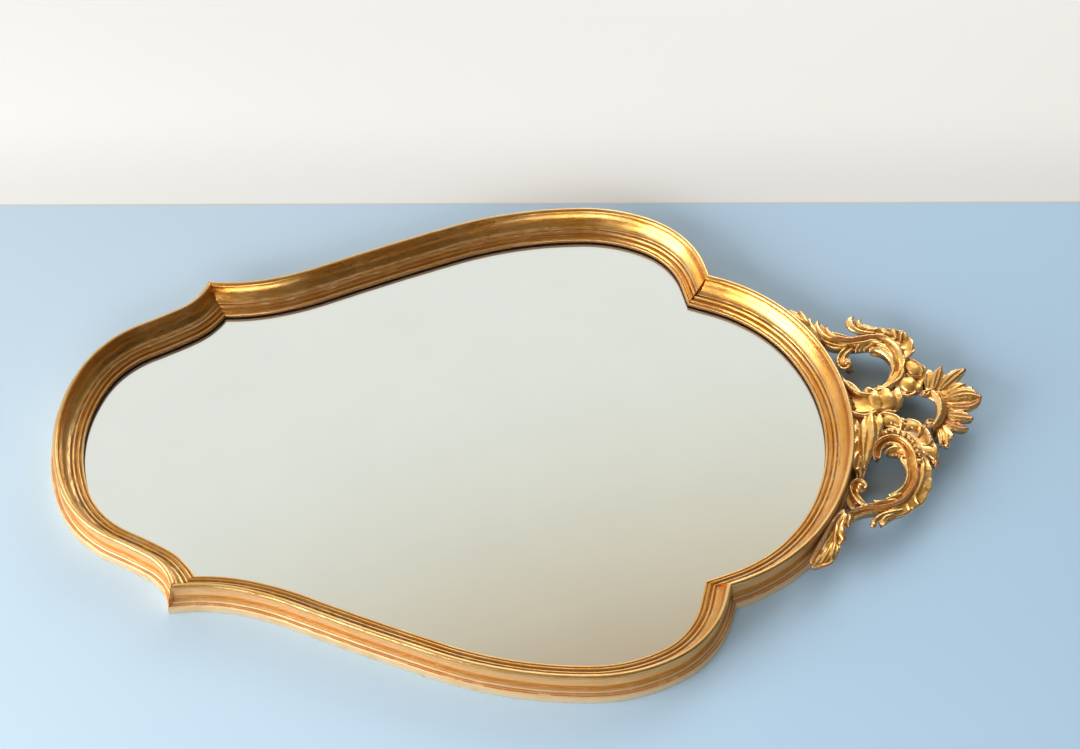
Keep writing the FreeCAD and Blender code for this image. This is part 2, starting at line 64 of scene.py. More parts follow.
# Sight edge: points and headings in shares of its length and in degrees
LOW_ARCH, LOW_ARCH_HEADING = (0.0773, 0.1481), 26.2
LOW_CUSP, LOW_CUSP_HEADINGS = (0.1703, 0.2184), (60.9, -1.4)
WAIST, WAIST_HEADING = (0.3183, 0.2508), 23.3
BELLY = (0.6776, 0.3551)
SHOULDER, SHOULDER_HEADINGS = (0.8265, 0.2325), (-76.4, -20.7)
# half of the turn at each cusp
LOW_TURN = math.radians((LOW_CUSP_HEADINGS[0] - LOW_CUSP_HEADINGS[1]) / 2)
TOP_TURN = -math.radians((SHOULDER_HEADINGS[1] - SHOULDER_HEADINGS[0]) / 2)

# Rails
RAIL_STEP = 2.2
MITRE_GAP = 0.03
MITRE_EASE = 0.12                   # how far the arris of a mitre is eased
MITRE_COLUMNS = 8
# depth, length and width in mm of the waves in the moulding's surface, and their two seeds
UNEVENNESS = ((0.10, 17.0, 9.0, 7.3, 3), (0.05, 4.5, 1.8, 3.1, 5))
UNEVEN_BELOW = 0.06                 # mean depth of the surface under the section
SHARP_ANGLE = math.radians(50)

# Silvering, a film on the back of the glass
SILVER_OUT = 6.2
SILVER_HEIGHTS = (4.83, 4.93)


def unit(degrees):
    a = math.radians(degrees)
    return np.array([math.cos(a), math.sin(a)])


def left(v):
    """A quarter turn to the left, of one vector or of rows of them."""
    return np.stack([-v[..., 1], v[..., 0]], -1)


def cross(a, b):
    return a[..., 0] * b[..., 1] - a[..., 1] * b[..., 0]


def turned(v, angle):
    c, s = np.cos(angle), np.sin(angle)
    return np.stack([v[..., 0] * c - v[..., 1] * s, v[..., 0] * s + v[..., 1] * c], -1)


def path_length(points):
    """Distance travelled at each point of a line."""
    return np.concatenate([[0], np.cumsum(np.linalg.norm(np.diff(points, axis=0), axis=1))])


# The sight edge as chains of arcs, each given as start, heading and end
def biarc(p, p_way, q, q_way):
    """Two tangent arcs between two points with headings."""
    chord = q - p
    spread = 2 * (1 - p_way @ q_way)
    reach = chord @ (p_way + q_way)
    if spread < 1e-9:
        arm = (chord @ chord) / (4 * (chord @ q_way))
    else:
        arm = (math.sqrt(reach * reach + spread * (chord @ chord)) - reach) / spread
    joint = (p + p_way * arm + q - q_way * arm) / 2
    along = chord - (q_way + p_way) * arm
    return [(p, p_way, joint), (joint, along / np.linalg.norm(along), q)]


def half_outline():
    """The bottom, side and top stretches of the left half."""
    start, end = np.zeros(2), np.array([SIGHT_LENGTH, 0.0])
    into_low, out_low = map(unit, LOW_CUSP_HEADINGS)
    into_top, out_top = map(unit, SHOULDER_HEADINGS)
    arch, cusp, waist, belly, shoulder = [np.array(place) * SIGHT_LENGTH
                                          for place in (LOW_ARCH, LOW_CUSP, WAIST, BELLY, SHOULDER)]
    arch_way, waist_way = unit(LOW_ARCH_HEADING), unit(WAIST_HEADING)
    bottom = biarc(start, unit(90), arch, arch_way) + biarc(arch, arch_way, cusp, into_low)
    side = biarc(cusp, out_low, waist, waist_way) + biarc(waist, waist_way, belly, unit(0))
    side += biarc(belly, unit(0), shoulder - into_top * CUSP_RUN, into_top)
    return bottom, side, biarc(shoulder + out_top * CUSP_RUN, out_top, end, unit(-90))


def arc_of(span):
    """Centre, signed radius and half the turn of an arc."""
    p, way, q = span
    half = math.atan2(cross(way, q - p), way @ (q - p))
    radius = np.linalg.norm(q - p) / (2 * math.sin(half))
    return p + left(way) * radius, radius, half


def walk(spans, step):
    """Points and headings every step along a chain of arcs."""
    points, ways = [], []
    for k, span in enumerate(spans):
        centre, radius, half = arc_of(span)
        n = max(2, int(round(abs(2 * half * radius) / step)))
        for i in range(1 if k else 0, n + 1):
            way = turned(span[1], 2 * half * i / n)
            points.append(centre - left(way) * radius)
            ways.append(way)
    return np.array(points), np.array(ways)


def flipped(spans):
    """The same stretch on the other half, walked so that outwards stays on the left."""
    return [(q * [1, -1], turned(way, 2 * arc_of((p, way, q))[2]) * [-1, 1], p * [1, -1])
            for p, way, q in reversed(spans)]


def outline_loop(offset, step=4.0):
    """Closed loop round the sight edge, moved out by an offset."""
    low, high = (0.0, LOW_TURN), (CUSP_RUN, TOP_TURN)
    half = []
    stretches = (bottom_spans, None, low), (side_spans, low, high), (top_spans, high, None)
    for spans, run_in, run_out in stretches:
        points, ways = walk(spans, step)
        line = points + left(ways) * offset
        if run_in:
            line = np.vstack([line[0] - ways[0] * (run_in[0] + offset * math.tan(run_in[1])), line])
        if run_out:
            line = np.vstack([line, line[-1] + ways[-1] * (run_out[0] + offset * math.tan(run_out[1]))])
        half.append(line)
    half = np.vstack(half)
    loop = np.vstack([half, half[::-1] * [1, -1]])
    return loop[np.linalg.norm(loop - np.roll(loop, 1, 0), axis=1) > 0.01] - [MIDDLE, 0]


# Meshes
def hash_noise(points, seed):
    """Smooth value noise in -1..1 for an (n, 3) array of points in cells."""
    cell = np.floor(points).astype(np.int64)
    f = points - cell
    f = f * f * (3 - 2 * f)
    total = np.zeros(len(points))
    for corner in np.ndindex(2, 2, 2):
        h = ((cell + corner) * (374761393, 668265263, 2147483647)).sum(1) + seed * 1274126177
        h = (h ^ (h >> 13)) * 1274126177
        h = (h ^ (h >> 16)) & 0xFFFF
        total += (h / 32767.5 - 1) * np.where(corner, f, 1 - f).prod(1)
    return total


def new_object(name, mesh):
    obj = bpy.data.objects.new(name, mesh)
    bpy.context.scene.collection.objects.link(obj)
    return obj


def new_mesh(name, verts, faces, smooth=True):
    """Object from corner points in mm and faces that all have the same number of corners."""
    mesh = bpy.data.meshes.new(name)
    faces = np.asarray(faces, np.int32)
    mesh.vertices.add(len(verts))
    mesh.vertices.foreach_set("co", np.asarray(np.asarray(verts) * MM, np.float32).ravel())
    mesh.loops.add(faces.size)
    mesh.loops.foreach_set("vertex_index", faces.ravel())
    mesh.polygons.add(len(faces))
    mesh.polygons.foreach_set("loop_start", np.arange(0, faces.size, faces.shape[1], dtype=np.int32))
    mesh.update(calc_edges=True)
    mesh.validate()
    mesh.polygons.foreach_set("use_smooth", np.full(len(mesh.polygons), smooth))
    return new_object(name, mesh)


def set_attribute(mesh, name, values):
    mesh.attributes.new(name, "FLOAT", "POINT").data.foreach_set("value", np.asarray(values, np.float32))


def read(items, field, width=1):
    """A field of a mesh's items as rows of numbers."""
    out = np.empty(len(items) * width, np.float32)
    items.foreach_get(field, out)
    return out.reshape(-1, width) if width > 1 else out


# Moulding
def bowed(p, q, bow, n):
    """Points from p to just before q on a shallow arc that bows to the left."""
    p, q = np.array(p, float), np.array(q, float)
    t = np.linspace(0, 1, n, endpoint=False)[:, None]
    return p + (q - p) * t + left(q - p) * (2 * bow * t * (1 - t))


def section():
    """The moulding's section, walked from the lip over the ridge and round the back.

    Points are out from the sight edge and up; the second result maps a part's name to how far
    round the section it begins.
    """
    w, h, f, r = MOULDING_WIDTH, MOULDING_HEIGHT, LIP_FRONT, REBATE_WIDTH
    # each part's name, end, bow to the left and number of points
    parts = [
        ("lip", (0.5, f), 0.35, 4), ("", (1.9, f + 0.05), 0.1, 4),
        ("groove_1", (2.3, f - 0.35), 0.1, 2), ("", (2.7, f + 0.2), -0.1, 2),
        ("bead_1", (7.2, f + 1.7), 0.55, 10),
        ("groove_2", (7.6, f + 1.5), 0.1, 2), ("", (8.0, f + 2.3), -0.1, 2),
        ("bead_2", (11.3, f + 3.8), 0.5, 9),
        ("groove_3", (11.8, f + 3.4), 0.1, 3), ("", (12.5, f + 4.0), -0.3, 3),
        ("fillet", (14.4, f + 5.0), 0.1, 4), ("cove", (21.6, h - 2.9), -0.25, 22),
        ("ridge", (24.2, h), 0.42, 8), ("crown", (27.0, h - 1.8), 0.42, 8),
        ("quirk", (27.1, h - 3.1), -0.1, 3), ("scotia", (26.1, 12.6), -0.17, 18),
        ("foot", (26.7, 12.1), -0.3, 3), ("", (28.4, 11.8), 0.35, 5),
        ("channel", (30.4, 11.2), -0.4, 6), ("edge", (w, 9.0), 0.42, 8),
        ("plinth", (w, 0.6), 0, 7), ("", (w - 0.6, 0.0), 0.4, 3),
        ("back", (r, 0.0), 0, 8), ("rebate", (r, LIP_BACK), 0, 4), ("", (0.0, LIP_BACK), 0, 4),
        ("inner_edge", (0.0, f - 0.5), 0, 3),
    ]
    points, begins, start = [], {}, parts[-1][1]
    for name, end, bow, count in parts:
        begins[name] = len(points)
        points.extend(bowed(start, end, bow, count))
        start = end
    travelled = path_length(np.array(points))
    return np.array(points), {name: travelled[k] for name, k in begins.items() if name}


SECTION, PLACES = section()
PLINTH_FOOT = int(np.argmax(SECTION[:, 1] <= 0.01))      # first point of the section on the table
BACK_WOOD = PLACES["back"] + 2.0                         # place on the section that is bare wood


def curved_mitre(last_span, first_span, corner, offsets):
    """Where the offset lines of two arcs that go on past their cusp meet, for each offset."""
    (c1, r1, _), (c2, r2, _) = arc_of(last_span), arc_of(first_span)
    a, b = np.abs(r1 - offsets), np.abs(r2 - offsets)
    d = np.linalg.norm(c2 - c1)
    way = (c2 - c1) / d
    along = (a ** 2 - b ** 2 + d ** 2) / (2 * d)
    base = c1 + way * along[:, None]
    side = left(way) * np.sqrt(np.clip(a ** 2 - along ** 2, 0, None))[:, None]
    both = np.stack([base + side, base - side])
    return both[np.linalg.norm(both - corner, axis=2).argmin(0), np.arange(len(offsets))]


def cap_ends(obj, n, k):
    """Close both ends of a swept mesh with one face each, and turn its faces outwards."""
    bm = bmesh.new()
    bm.from_mesh(obj.data)
    bm.verts.ensure_lookup_table()
    bm.faces.new([bm.verts[j] for j in range(k)])
    bm.faces.new([bm.verts[(n - 1) * k + j] for j in reversed(range(k))])
    bmesh.ops.triangulate(bm, faces=[f for f in bm.faces if len(f.verts) > 4])
    bmesh.ops.recalc_face_normals(bm, faces=bm.faces)
    if bm.calc_volume(signed=True) < 0:
        bmesh.ops.reverse_faces(bm, faces=bm.faces)
    bm.to_mesh(obj.data)
    bm.free()


def rail(name, spans, at_start, at_end, seed):
    """Moulding swept along a stretch, its ends cut on the mitres of the cusps.

    at_start and at_end are (straight run, half of the cusp's turn in radians), or the points where
    the rows of the section meet those of the next stretch.
    """
    rows = SECTION
    points, ways = walk(spans, RAIL_STEP)
    travelled = path_length(points)

    def run_to_mitre(span, k, end, sign):
        """Columns past the stretch's point k: their points, place along the rail and ease."""
        edge = points[k] + left(ways[k]) * rows[:, :1]
        if isinstance(end, tuple):
            reach = end[0] + rows[:, 0] * math.tan(end[1]) - MITRE_GAP
            length = reach.mean()
        else:
            centre, radius, _ = arc_of(span)
            start, goal = edge - centre, end - centre
            turn = np.arctan2(cross(start, goal), (start * goal).sum(1))
            turn = turn - np.sign(turn) * MITRE_GAP / np.linalg.norm(start, axis=1)
            length = np.abs(turn).mean() * abs(radius)
        columns = []
        for share in np.arange(1, MITRE_COLUMNS + 1) / MITRE_COLUMNS:
            if isinstance(end, tuple):
                column = edge + sign * ways[k] * (reach * share)[:, None]
            else:
                column = centre + turned(start, turn * share)
            columns.append((column, travelled[k] + sign * length * share, MITRE_EASE if share == 1 else 0.0))
        return columns

    columns = run_to_mitre(spans[0], 0, at_start, -1)[::-1]
    columns += [(p + left(way) * rows[:, :1], s, 0.0) for p, way, s in zip(points, ways, travelled)]
    columns += run_to_mitre(spans[-1], -1, at_end, 1)

    # outward normal of each row of the section, for the hand-worked unevenness
    normal = left(np.roll(rows, -1, 0) - np.roll(rows, 1, 0))
    normal /= np.linalg.norm(normal, axis=1)[:, None]
    arc = path_length(rows)
    shows = (rows[:, 1] > 0.5) & (np.arange(len(rows)) < PLINTH_FOOT)
    inmost, outmost = np.argmin(rows[:, 0]), np.argmax(rows[:, 0])
    verts = []
    for column, s, ease in columns:
        push = -UNEVEN_BELOW - ease
        for depth, length, width, layer, noise_seed in UNEVENNESS:
            place = np.broadcast_arrays(s / length, arc / width, seed * layer)
            push = push + depth * hash_noise(np.stack(place, 1), noise_seed)
        push = push * shows
        outward = column[outmost] - column[inmost]
        outward = outward / np.linalg.norm(outward)
        z = np.clip(rows[:, 1] + normal[:, 1] * push, 0, MOULDING_HEIGHT)
        verts.append(np.column_stack([column + outward * (normal[:, 0] * push)[:, None], z]))
    n, k = len(columns), len(rows)
    i, j = np.meshgrid(np.arange(n - 1), np.arange(k), indexing="ij")
    a, b = i * k + j, i * k + (j + 1) % k
    faces = np.stack([a, a + k, b + k, b], -1).reshape(-1, 4)
    obj = new_mesh(name, np.concatenate(verts) - [MIDDLE, 0, 0], faces)
    cap_ends(obj, n, k)
    set_attribute(obj.data, "across", np.tile(arc, n))
    set_attribute(obj.data, "along", np.repeat([s for _, s, _ in columns], k))
    return obj


def cut_boxes(obj, boxes):
    """Cut boxes, each a low and a high corner in mm, out of a rail's back, and leave bare wood there."""
    sides = [(0, 1, 3, 2), (4, 6, 7, 5), (0, 4, 5, 1), (2, 3, 7, 6), (0, 2, 6, 4), (1, 5, 7, 3)]
    cutters = []
    for box in boxes:
        corners = [[box[i][0], box[j][1], box[k][2]] for i, j, k in np.ndindex(2, 2, 2)]
        cutters.append(new_mesh(obj.name + "_cutter", corners, sides, smooth=False))
        modifier = obj.modifiers.new("cut", "BOOLEAN")
        modifier.operation, modifier.solver, modifier.object = "DIFFERENCE", "MANIFOLD", cutters[-1]
    before = obj.data
    cut = bpy.data.meshes.new_from_object(obj.evaluated_get(bpy.context.evaluated_depsgraph_get()))
    cut.materials.clear()
    cut.polygons.foreach_set("material_index", np.zeros(len(cut.polygons), np.int32))
    obj.modifiers.clear()
    obj.data = cut
    for cutter in cutters:
        mesh = cutter.data
        bpy.data.objects.remove(cutter)
        bpy.data.meshes.remove(mesh)
    tree = KDTree(len(before.vertices))
    for i, vertex in enumerate(before.vertices):
        tree.insert(vertex.co, i)
    tree.balance()
    points = read(cut.vertices, "co", 3)
    _, nearest, distance = zip(*[tree.find(point) for point in points])
    own = np.array(distance) < 1e-6
    wood = {"across": BACK_WOOD + points[:, 2] / MM, "along": points[:, 0] / MM}
    for name, value in wood.items():
        if name in cut.attributes:
            cut.attributes.remove(cut.attributes[name])
        kept = read(before.attributes[name].data, "value")[list(nearest)]
        set_attribute(cut, name, np.where(own, kept, value))
    cut.polygons.foreach_set("use_smooth", np.ones(len(cut.polygons), bool))
    cut.set_sharp_from_angle(angle=SHARP_ANGLE)


def both_sides(place, depth):
    """A box cut into the back of the left half, and its mirror image."""
    (x0, y0), (x1, y1) = place
    return [((x0, low, -CUT_PAST), (x1, high, depth)) for low, high in ((y0, y1), (-y1, -y0))]


# Node graphs
def operation(name, swapped=False):
    def method(self, other=0.0):
        a, b = (other, self) if swapped else (self, other)
        return self.graph.node("ShaderNodeMath", {0: a, 1: b}, operation=name)
    return method


class Value:
    """A node's output, for use in formulas."""

    __add__, __mul__, __sub__ = operation("ADD"), operation("MULTIPLY"), operation("SUBTRACT")
    __rsub__ = operation("SUBTRACT", swapped=True)
    __abs__, fraction = operation("ABSOLUTE"), operation("FRACT")
    larger, smaller = operation("MAXIMUM"), operation("MINIMUM")

    def __init__(self, graph, socket):
        self.graph, self.socket = graph, socket

    def ramp(self, low, high, out_low=0.0, out_high=1.0):
        return self.graph.node("ShaderNodeMapRange", dict(enumerate((self, low, high, out_low, out_high))),
                               clamp=True, interpolation_type="SMOOTHSTEP")

    def band(self, centre, half, soft):
        """1 within half of the centre, falling to 0 over soft."""
        return abs(self - centre).ramp(half, half + soft, 1.0, 0.0)

    def mix(self, factor, other):
        """This colour with another one over it."""
        return self.graph.mix(factor, self, other)


class Graph:
    """Nodes of a material or of the world."""

    def __init__(self, owner):
        owner.use_nodes = True
        self.owner, self.tree = owner, owner.node_tree
        self.tree.nodes.clear()

    def node(self, kind, inputs, output=0, **settings):
        """Add a node, fill the inputs given by name or number, and give one of its outputs."""
        made = self.tree.nodes.new(kind)
        for key, value in settings.items():
            setattr(made, key, value)
        for key, value in inputs.items():
            if isinstance(value, Value):
                self.tree.links.new(value.socket, made.inputs[key])
            else:
                made.inputs[key].default_value = value
        return Value(self, made.outputs[output])

    def mix(self, factor, a, b):
        return self.node("ShaderNodeMix", {0: factor, 6: a, 7: b}, 2, data_type="RGBA")

    def coordinates(self, kind):
        return self.node("ShaderNodeTexCoord", {}, kind)

    def split(self, vector):
        """The x, y and z of a vector."""
        made = self.node("ShaderNodeSeparateXYZ", {0: vector}).socket.node
        return [Value(self, socket) for socket in made.outputs]

    def close(self, shader, kind):
        self.tree.links.new(shader.socket, self.tree.nodes.new(kind).inputs[0])
        return self.owner


class Material(Graph):
    def __init__(self, name):
        super().__init__(bpy.data.materials.new(name))
        self.position = self.coordinates("Object")

    def attribute(self, name):
        return self.node("ShaderNodeAttribute", {}, "Fac", attribute_name=name)

    def noise(self, scale, detail, roughness, vector=None, distortion=0.0):
        names = "Scale", "Detail", "Roughness", "Distortion", "Vector"
        values = scale, detail, roughness, distortion, vector or self.position
        return self.node("ShaderNodeTexNoise", dict(zip(names, values)))

    def drawn(self, scale, rotation=(0, 0, 0)):
        """Coordinates stretched along an axis."""
        return self.node("ShaderNodeMapping", {"Vector": self.position, "Scale": scale, "Rotation": rotation})

    def surface(self, colour, roughness, bump=None, **more):
        """Finish the material with a shader; bump is a height, its strength and its distance in m."""
        inputs = {key.replace("_", " "): value for key, value in more.items()}
        inputs.update({"Base Color": colour, "Roughness": roughness})
        if bump:
            names = "Height", "Strength", "Distance"
            inputs["Normal"] = self.node("ShaderNodeBump", dict(zip(names, bump)))
        return self.close(self.node("ShaderNodeBsdfPrincipled", inputs), "ShaderNodeOutputMaterial")


def rgb(r, g, b):
    """Linear colour from 0..255 display values."""
    shares = [v / 255 for v in (r, g, b)]
    return (*(v / 12.92 if v <= 0.04045 else ((v + 0.055) / 1.055) ** 2.4 for v in shares), 1.0)


# Gilding
GOLD = (0.84, 0.42, 0.085, 1)
PALE_GOLD = (0.94, 0.58, 0.21, 1)
DEEP_GOLD = (0.50, 0.185, 0.02, 1)
BOLE = rgb(140, 56, 34)
UMBER = rgb(78, 56, 40)
DUST = rgb(176, 164, 150)


def moulding_gold():
    """Worn water gilding: streaked gold, red bole on the arrises, painted shade in the grooves, painted light
    on the crown and the outer side.
    """
    n, at = Material("moulding_gold"), PLACES
    across, along = n.attribute("across"), n.attribute("along")

    def strip(scale, detail, roughness, length, width, layer):
        """Noise that is drawn out along the rail."""
        place = n.node("ShaderNodeCombineXYZ", {0: along * length, 1: across * width, 2: layer})
        return n.noise(scale, detail, roughness, place)

    def stretch(start, end, soft=0.25):
        """1 between two places on the section."""
        return across.ramp(start - soft, start + soft) * across.ramp(end - soft, end + soft, 1.0, 0.0)

    streaks = strip(1.6, 5, 0.6, 0.02, 0.9, 0.0)
    strokes = strip(1.2, 4, 0.6, 0.9, 0.12, 0.0)
    marks = strip(1.0, 5, 0.62, 0.06, 0.42, 3.0)
    patches = n.noise(22.0, 4, 0.6)
    blotch = n.noise(70.0, 5, 0.65)
    specks = n.noise(240.0, 3, 0.6)
    grain = n.noise(900.0, 3, 0.6)

    colour = n.mix(patches.ramp(0.35, 0.68), GOLD, PALE_GOLD)
    colour = colour.mix(streaks.ramp(0.5, 0.75) * 0.5, DEEP_GOLD)
    colour = colour.mix(strokes.ramp(0.48, 0.7) * 0.25, PALE_GOLD)
    # painted light on the outer side, also less metallic: a pale painted reflection above, painted shade in
    # orange towards its foot
    outer = across.ramp(at["quirk"] - 0.2, at["quirk"] + 1.2)
    pale_reflection = n.mix((streaks + patches * 0.5).ramp(0.6, 0.9), rgb(234, 200, 152), rgb(218, 166, 100))
    colour = colour.mix(outer * 0.85, pale_reflection)
    # painted shade: saturated orange gold low on the outer side, towards the foot
    shaded_orange = stretch(at["foot"] - 6.0, at["foot"] - 0.6, 1.3) * marks.ramp(0.3, 0.6, 0.5, 1.0)
    colour = colour.mix(shaded_orange * 0.9, rgb(222, 146, 40))
    # painted highlight: a pale band along the crown of the ridge
    colour = colour.mix(across.band(at["crown"] + 0.6, 1.3, 1.2) * 0.35, (0.98, 0.74, 0.38, 1))
    ruddy = stretch(at["bead_1"], at["groove_2"], 0.5) * marks.ramp(0.34, 0.6, 0.15, 0.65)
    colour = colour.mix(ruddy, (0.50, 0.20, 0.05, 1))
    # thin red lines where the gold has rubbed off the arrises
    bole = across.band(at["bead_1"] + 0.1, 0.2, 0.3) * blotch.ramp(0.40, 0.55)
    for place, half, soft, low in (
        (at["groove_2"], 0.2, 0.3, 0.44), (at["groove_3"] - 0.5, 0.3, 0.4, 0.36),
        (at["ridge"] + 2.2, 0.2, 0.4, 0.52), (at["crown"] + 2.5, 0.15, 0.35, 0.48),
        (at["edge"] + 1.2, 0.3, 0.5, 0.38), (at["plinth"] + 1.0, 0.3, 1.4, 0.58),
    ):
        bole = bole.larger(across.band(place, half, soft) * blotch.ramp(low, low + 0.12))
    bole = bole.larger(marks.ramp(0.66, 0.72) * 0.8)
    colour = colour.mix(bole * 0.85, n.mix(outer, BOLE, rgb(184, 92, 62)))
    # painted shade: dark umber in the grooves, the channel and the quirk, broken by blotches; dark specks of
    # dirt as well
    grime = across.band(at["groove_1"] + 0.6, 0.2, 0.3)
    for place, half, soft, much in (
        (at["groove_2"] + 0.5, 0.2, 0.3, 0.8), (at["groove_3"] + 0.7, 0.25, 0.4, 0.9),
        (at["quirk"] + 0.7, 0.3, 0.5, 0.5), (at["foot"], 0.3, 0.7, 0.5), (at["channel"] + 1.0, 0.5, 0.6, 0.5),
    ):
        grime = grime.larger(across.band(place, half, soft) * much)
    grime = grime * blotch.ramp(0.3, 0.55, 0.35, 1.0)
    grime = grime.larger(specks.ramp(0.71, 0.74) * 0.7)
    colour = colour.mix(grime * 0.85, UMBER)
    # purple-grey wear and pale dust between the beads and the cove
    wear = stretch(at["groove_3"] + 0.4, at["cove"] + 0.9, 0.4) * marks.ramp(0.49, 0.60)
    colour = colour.mix(wear * 0.55, rgb(106, 76, 66))
    chalk = stretch(at["bead_2"], at["cove"] + 1.2, 0.5) * marks.ramp(0.46, 0.38)
    colour = colour.mix(chalk * 0.7, rgb(186, 166, 138))
    wear = wear.larger(chalk * 0.8)
    # pale dusty plinth and foot line
    pale = stretch(at["plinth"] - 0.6, at["back"], 0.6) * blotch.ramp(0.28, 0.55, 0.35, 0.85)
    pale = pale.larger(across.band(at["channel"] - 0.6, 0.3, 0.4) * 0.75)
    colour = colour.mix(pale, rgb(214, 190, 150))
    # bare wood on the back and in the rebate
    bare = across.ramp(at["back"] + 0.1, at["back"] + 0.6)
    wood = n.mix(strip(1.0, 6, 0.7, 0.06, 1.1, 7.0).ramp(0.3, 0.7), rgb(112, 76, 46), rgb(156, 116, 74))
    colour = colour.mix(bare, wood.mix(patches.ramp(0.45, 0.7) * 0.5, rgb(84, 60, 42)))
    dull = (wear * 0.7).larger(pale * 0.8).larger((grime * 0.7).larger(bole * 0.6))
    dull = dull.larger(outer * (0.5 - shaded_orange * 0.4)).larger(bare)
    height = grain * 0.25 + streaks * 0.5 - specks.ramp(0.68, 0.74) * 0.8
    return n.surface(colour, marks.ramp(0.35, 0.65, 0.27, 0.40) + dull * 0.22, (height, 0.3, 0.0004),
                     Metallic=1.0 - dull, Coat_Weight=0.2, Coat_Roughness=0.25)


def carved_gold():
    """Old gilding on carving: pale on the proud parts, a painted highlight; deep gold, brown and umber in the
    hollows and underneath, painted shade; red and dusty in the hollows.
    """
    n = Material("carved_gold")
    hollow, wide, under, red, dust = map(n.attribute, ("hollow", "wide", "under", "red", "dust"))
    patches = n.noise(60.0, 4, 0.6)
    blotch = n.noise(170.0, 5, 0.65)
    fine = n.noise(420.0, 4, 0.65)
    grain = n.noise(1100.0, 3, 0.6)
    colour = n.mix(patches.ramp(0.35, 0.68), (0.95, 0.48, 0.09, 1), (1.0, 0.61, 0.19, 1))
    # painted highlight: pale gold on the proud parts, away from the hollows
    colour = colour.mix(((fine - 0.5) * 3.0 - hollow).ramp(0.1, 1.0) * 0.55, (1.0, 0.71, 0.36, 1))
    # painted shade: deep gold in the hollows, broken by blotches
    colour = colour.mix((hollow + (blotch - 0.5) * 1.8).ramp(-0.1, 1.1) * 0.85, DEEP_GOLD)
    chips = ((blotch - 0.5) * 9.0 - hollow).ramp(2.2, 3.0) * 0.75
    red = chips.larger((red * fine.ramp(0.30, 0.52, 0.35, 1.1)).smaller(0.9))
    colour = colour.mix(red, BOLE)
    # painted shade: dark brown in the deepest wide hollows
    hollow_shade = (wide + fine * 2.0).ramp(3.4, 5.2) * 0.6
    colour = colour.mix(hollow_shade, rgb(112, 68, 26))
    grime = (wide * 0.35 + (patches - 0.5) * 5.0).ramp(1.3, 2.6) * 0.5
    dusty = grime.larger(dust * blotch.ramp(0.42, 0.60, 0.0, 0.85))
    # pale dust in the hollows, then umber on the sides and undersides, painted shade
    colour = colour.mix(dusty, DUST).mix(under * 0.6, UMBER)
    dull = dusty.larger((red * 0.6).larger(hollow_shade * 0.5))
    rough = (hollow + fine * 1.4).ramp(-0.4, 2.0, 0.26, 0.5)
    return n.surface(colour, rough, (grain * 0.4 + (blotch + fine * 0.6), 0.4, 0.0006),
                     Metallic=dull.ramp(0.0, 0.8, 0.92, 0.12), Coat_Weight=0.5, Coat_Roughness=0.17)


# Wood, metal and glass
def timber(name, light, dark, size=1.0, stain=0.5):
    """Old bare wood: growth bands and pores along X, with stains and handling marks."""
    n = Material(name)
    drawn = n.drawn((0.05, 1.0, 1.0))
    bands = (n.noise(16.0 * size, 2, 0.5, drawn, 0.5) * 11.0).fraction()
    bands = abs(bands - 0.5).ramp(0.05, 0.5)
    pores = n.noise(420.0 * size, 4, 0.7, drawn)
    fibre = n.noise(110.0 * size, 5, 0.65, drawn)
    colour = n.mix(bands * 0.55 + fibre.ramp(0.35, 0.7, 0.0, 0.4), light, dark)
    colour = colour.mix(pores.ramp(0.60, 0.68) * 0.55, rgb(58, 40, 26))
    colour = colour.mix(n.noise(13.0, 5, 0.62).ramp(0.50, 0.66) * stain, rgb(86, 62, 42))
    colour = colour.mix(n.noise(150.0, 4, 0.6).ramp(0.66, 0.72) * 0.6, rgb(48, 36, 28))
    colour = colour.mix(n.noise(5.0, 6, 0.7).ramp(0.52, 0.72) * 0.22, DUST)
    height = fibre + bands * 0.3 - pores.ramp(0.58, 0.68)
    return n.surface(colour, fibre.ramp(0.3, 0.7, 0.62, 0.82), (height, 0.5, 0.0003))


def worn_metal(name, colour, tarnish, rust=0.3, roughness=0.3):
    """Handled metal: brushed grain, scratches, tarnish in patches and specks of rust."""
    n = Material(name)
    drawn, crossed = n.drawn((0.05, 1.0, 1.0)), n.drawn((0.04, 1.0, 1.0), (0.3, 0.5, 0.9))
    brushed = n.noise(2400.0, 3, 0.6, drawn)
    scratch = n.noise(900.0, 2, 0.5, drawn).ramp(0.66, 0.70)
    scratch = scratch.larger(n.noise(700.0, 2, 0.5, crossed).ramp(0.67, 0.71))
    patches = n.noise(170.0, 5, 0.62)
    dark = patches.ramp(0.44, 0.62)
    rusty = (n.noise(620.0, 4, 0.6) + patches * 0.4).ramp(0.80, 0.86) * rust
    bright = (*(min(1.0, c * 1.25) for c in colour[:3]), 1)
    base = n.mix(dark * 0.75, colour, tarnish).mix(scratch * 0.5, bright).mix(rusty, rgb(112, 62, 34))
    rough = dark * 0.18 + rusty * 0.35 + brushed.ramp(0.3, 0.7, roughness - 0.05, roughness + 0.07)
    height = brushed * 0.4 - scratch * 0.8 + rusty
    return n.surface(base, rough, (height, 0.35, 0.00008), Metallic=1.0 - rusty * 0.9)


def clear_glass():
    n = Material("clear_glass")
    return n.surface((0.985, 0.985, 0.975, 1), 0.0, IOR=1.52, Transmission_Weight=1.0)


def silver_material():
    n = Material("silvering")
    colour = n.mix(n.noise(9.0, 4, 0.6).ramp(0.3, 0.7), (0.935, 0.94, 0.93, 1), (0.955, 0.96, 0.95, 1))
    return n.surface(colour, 0.0, Metallic=1.0)


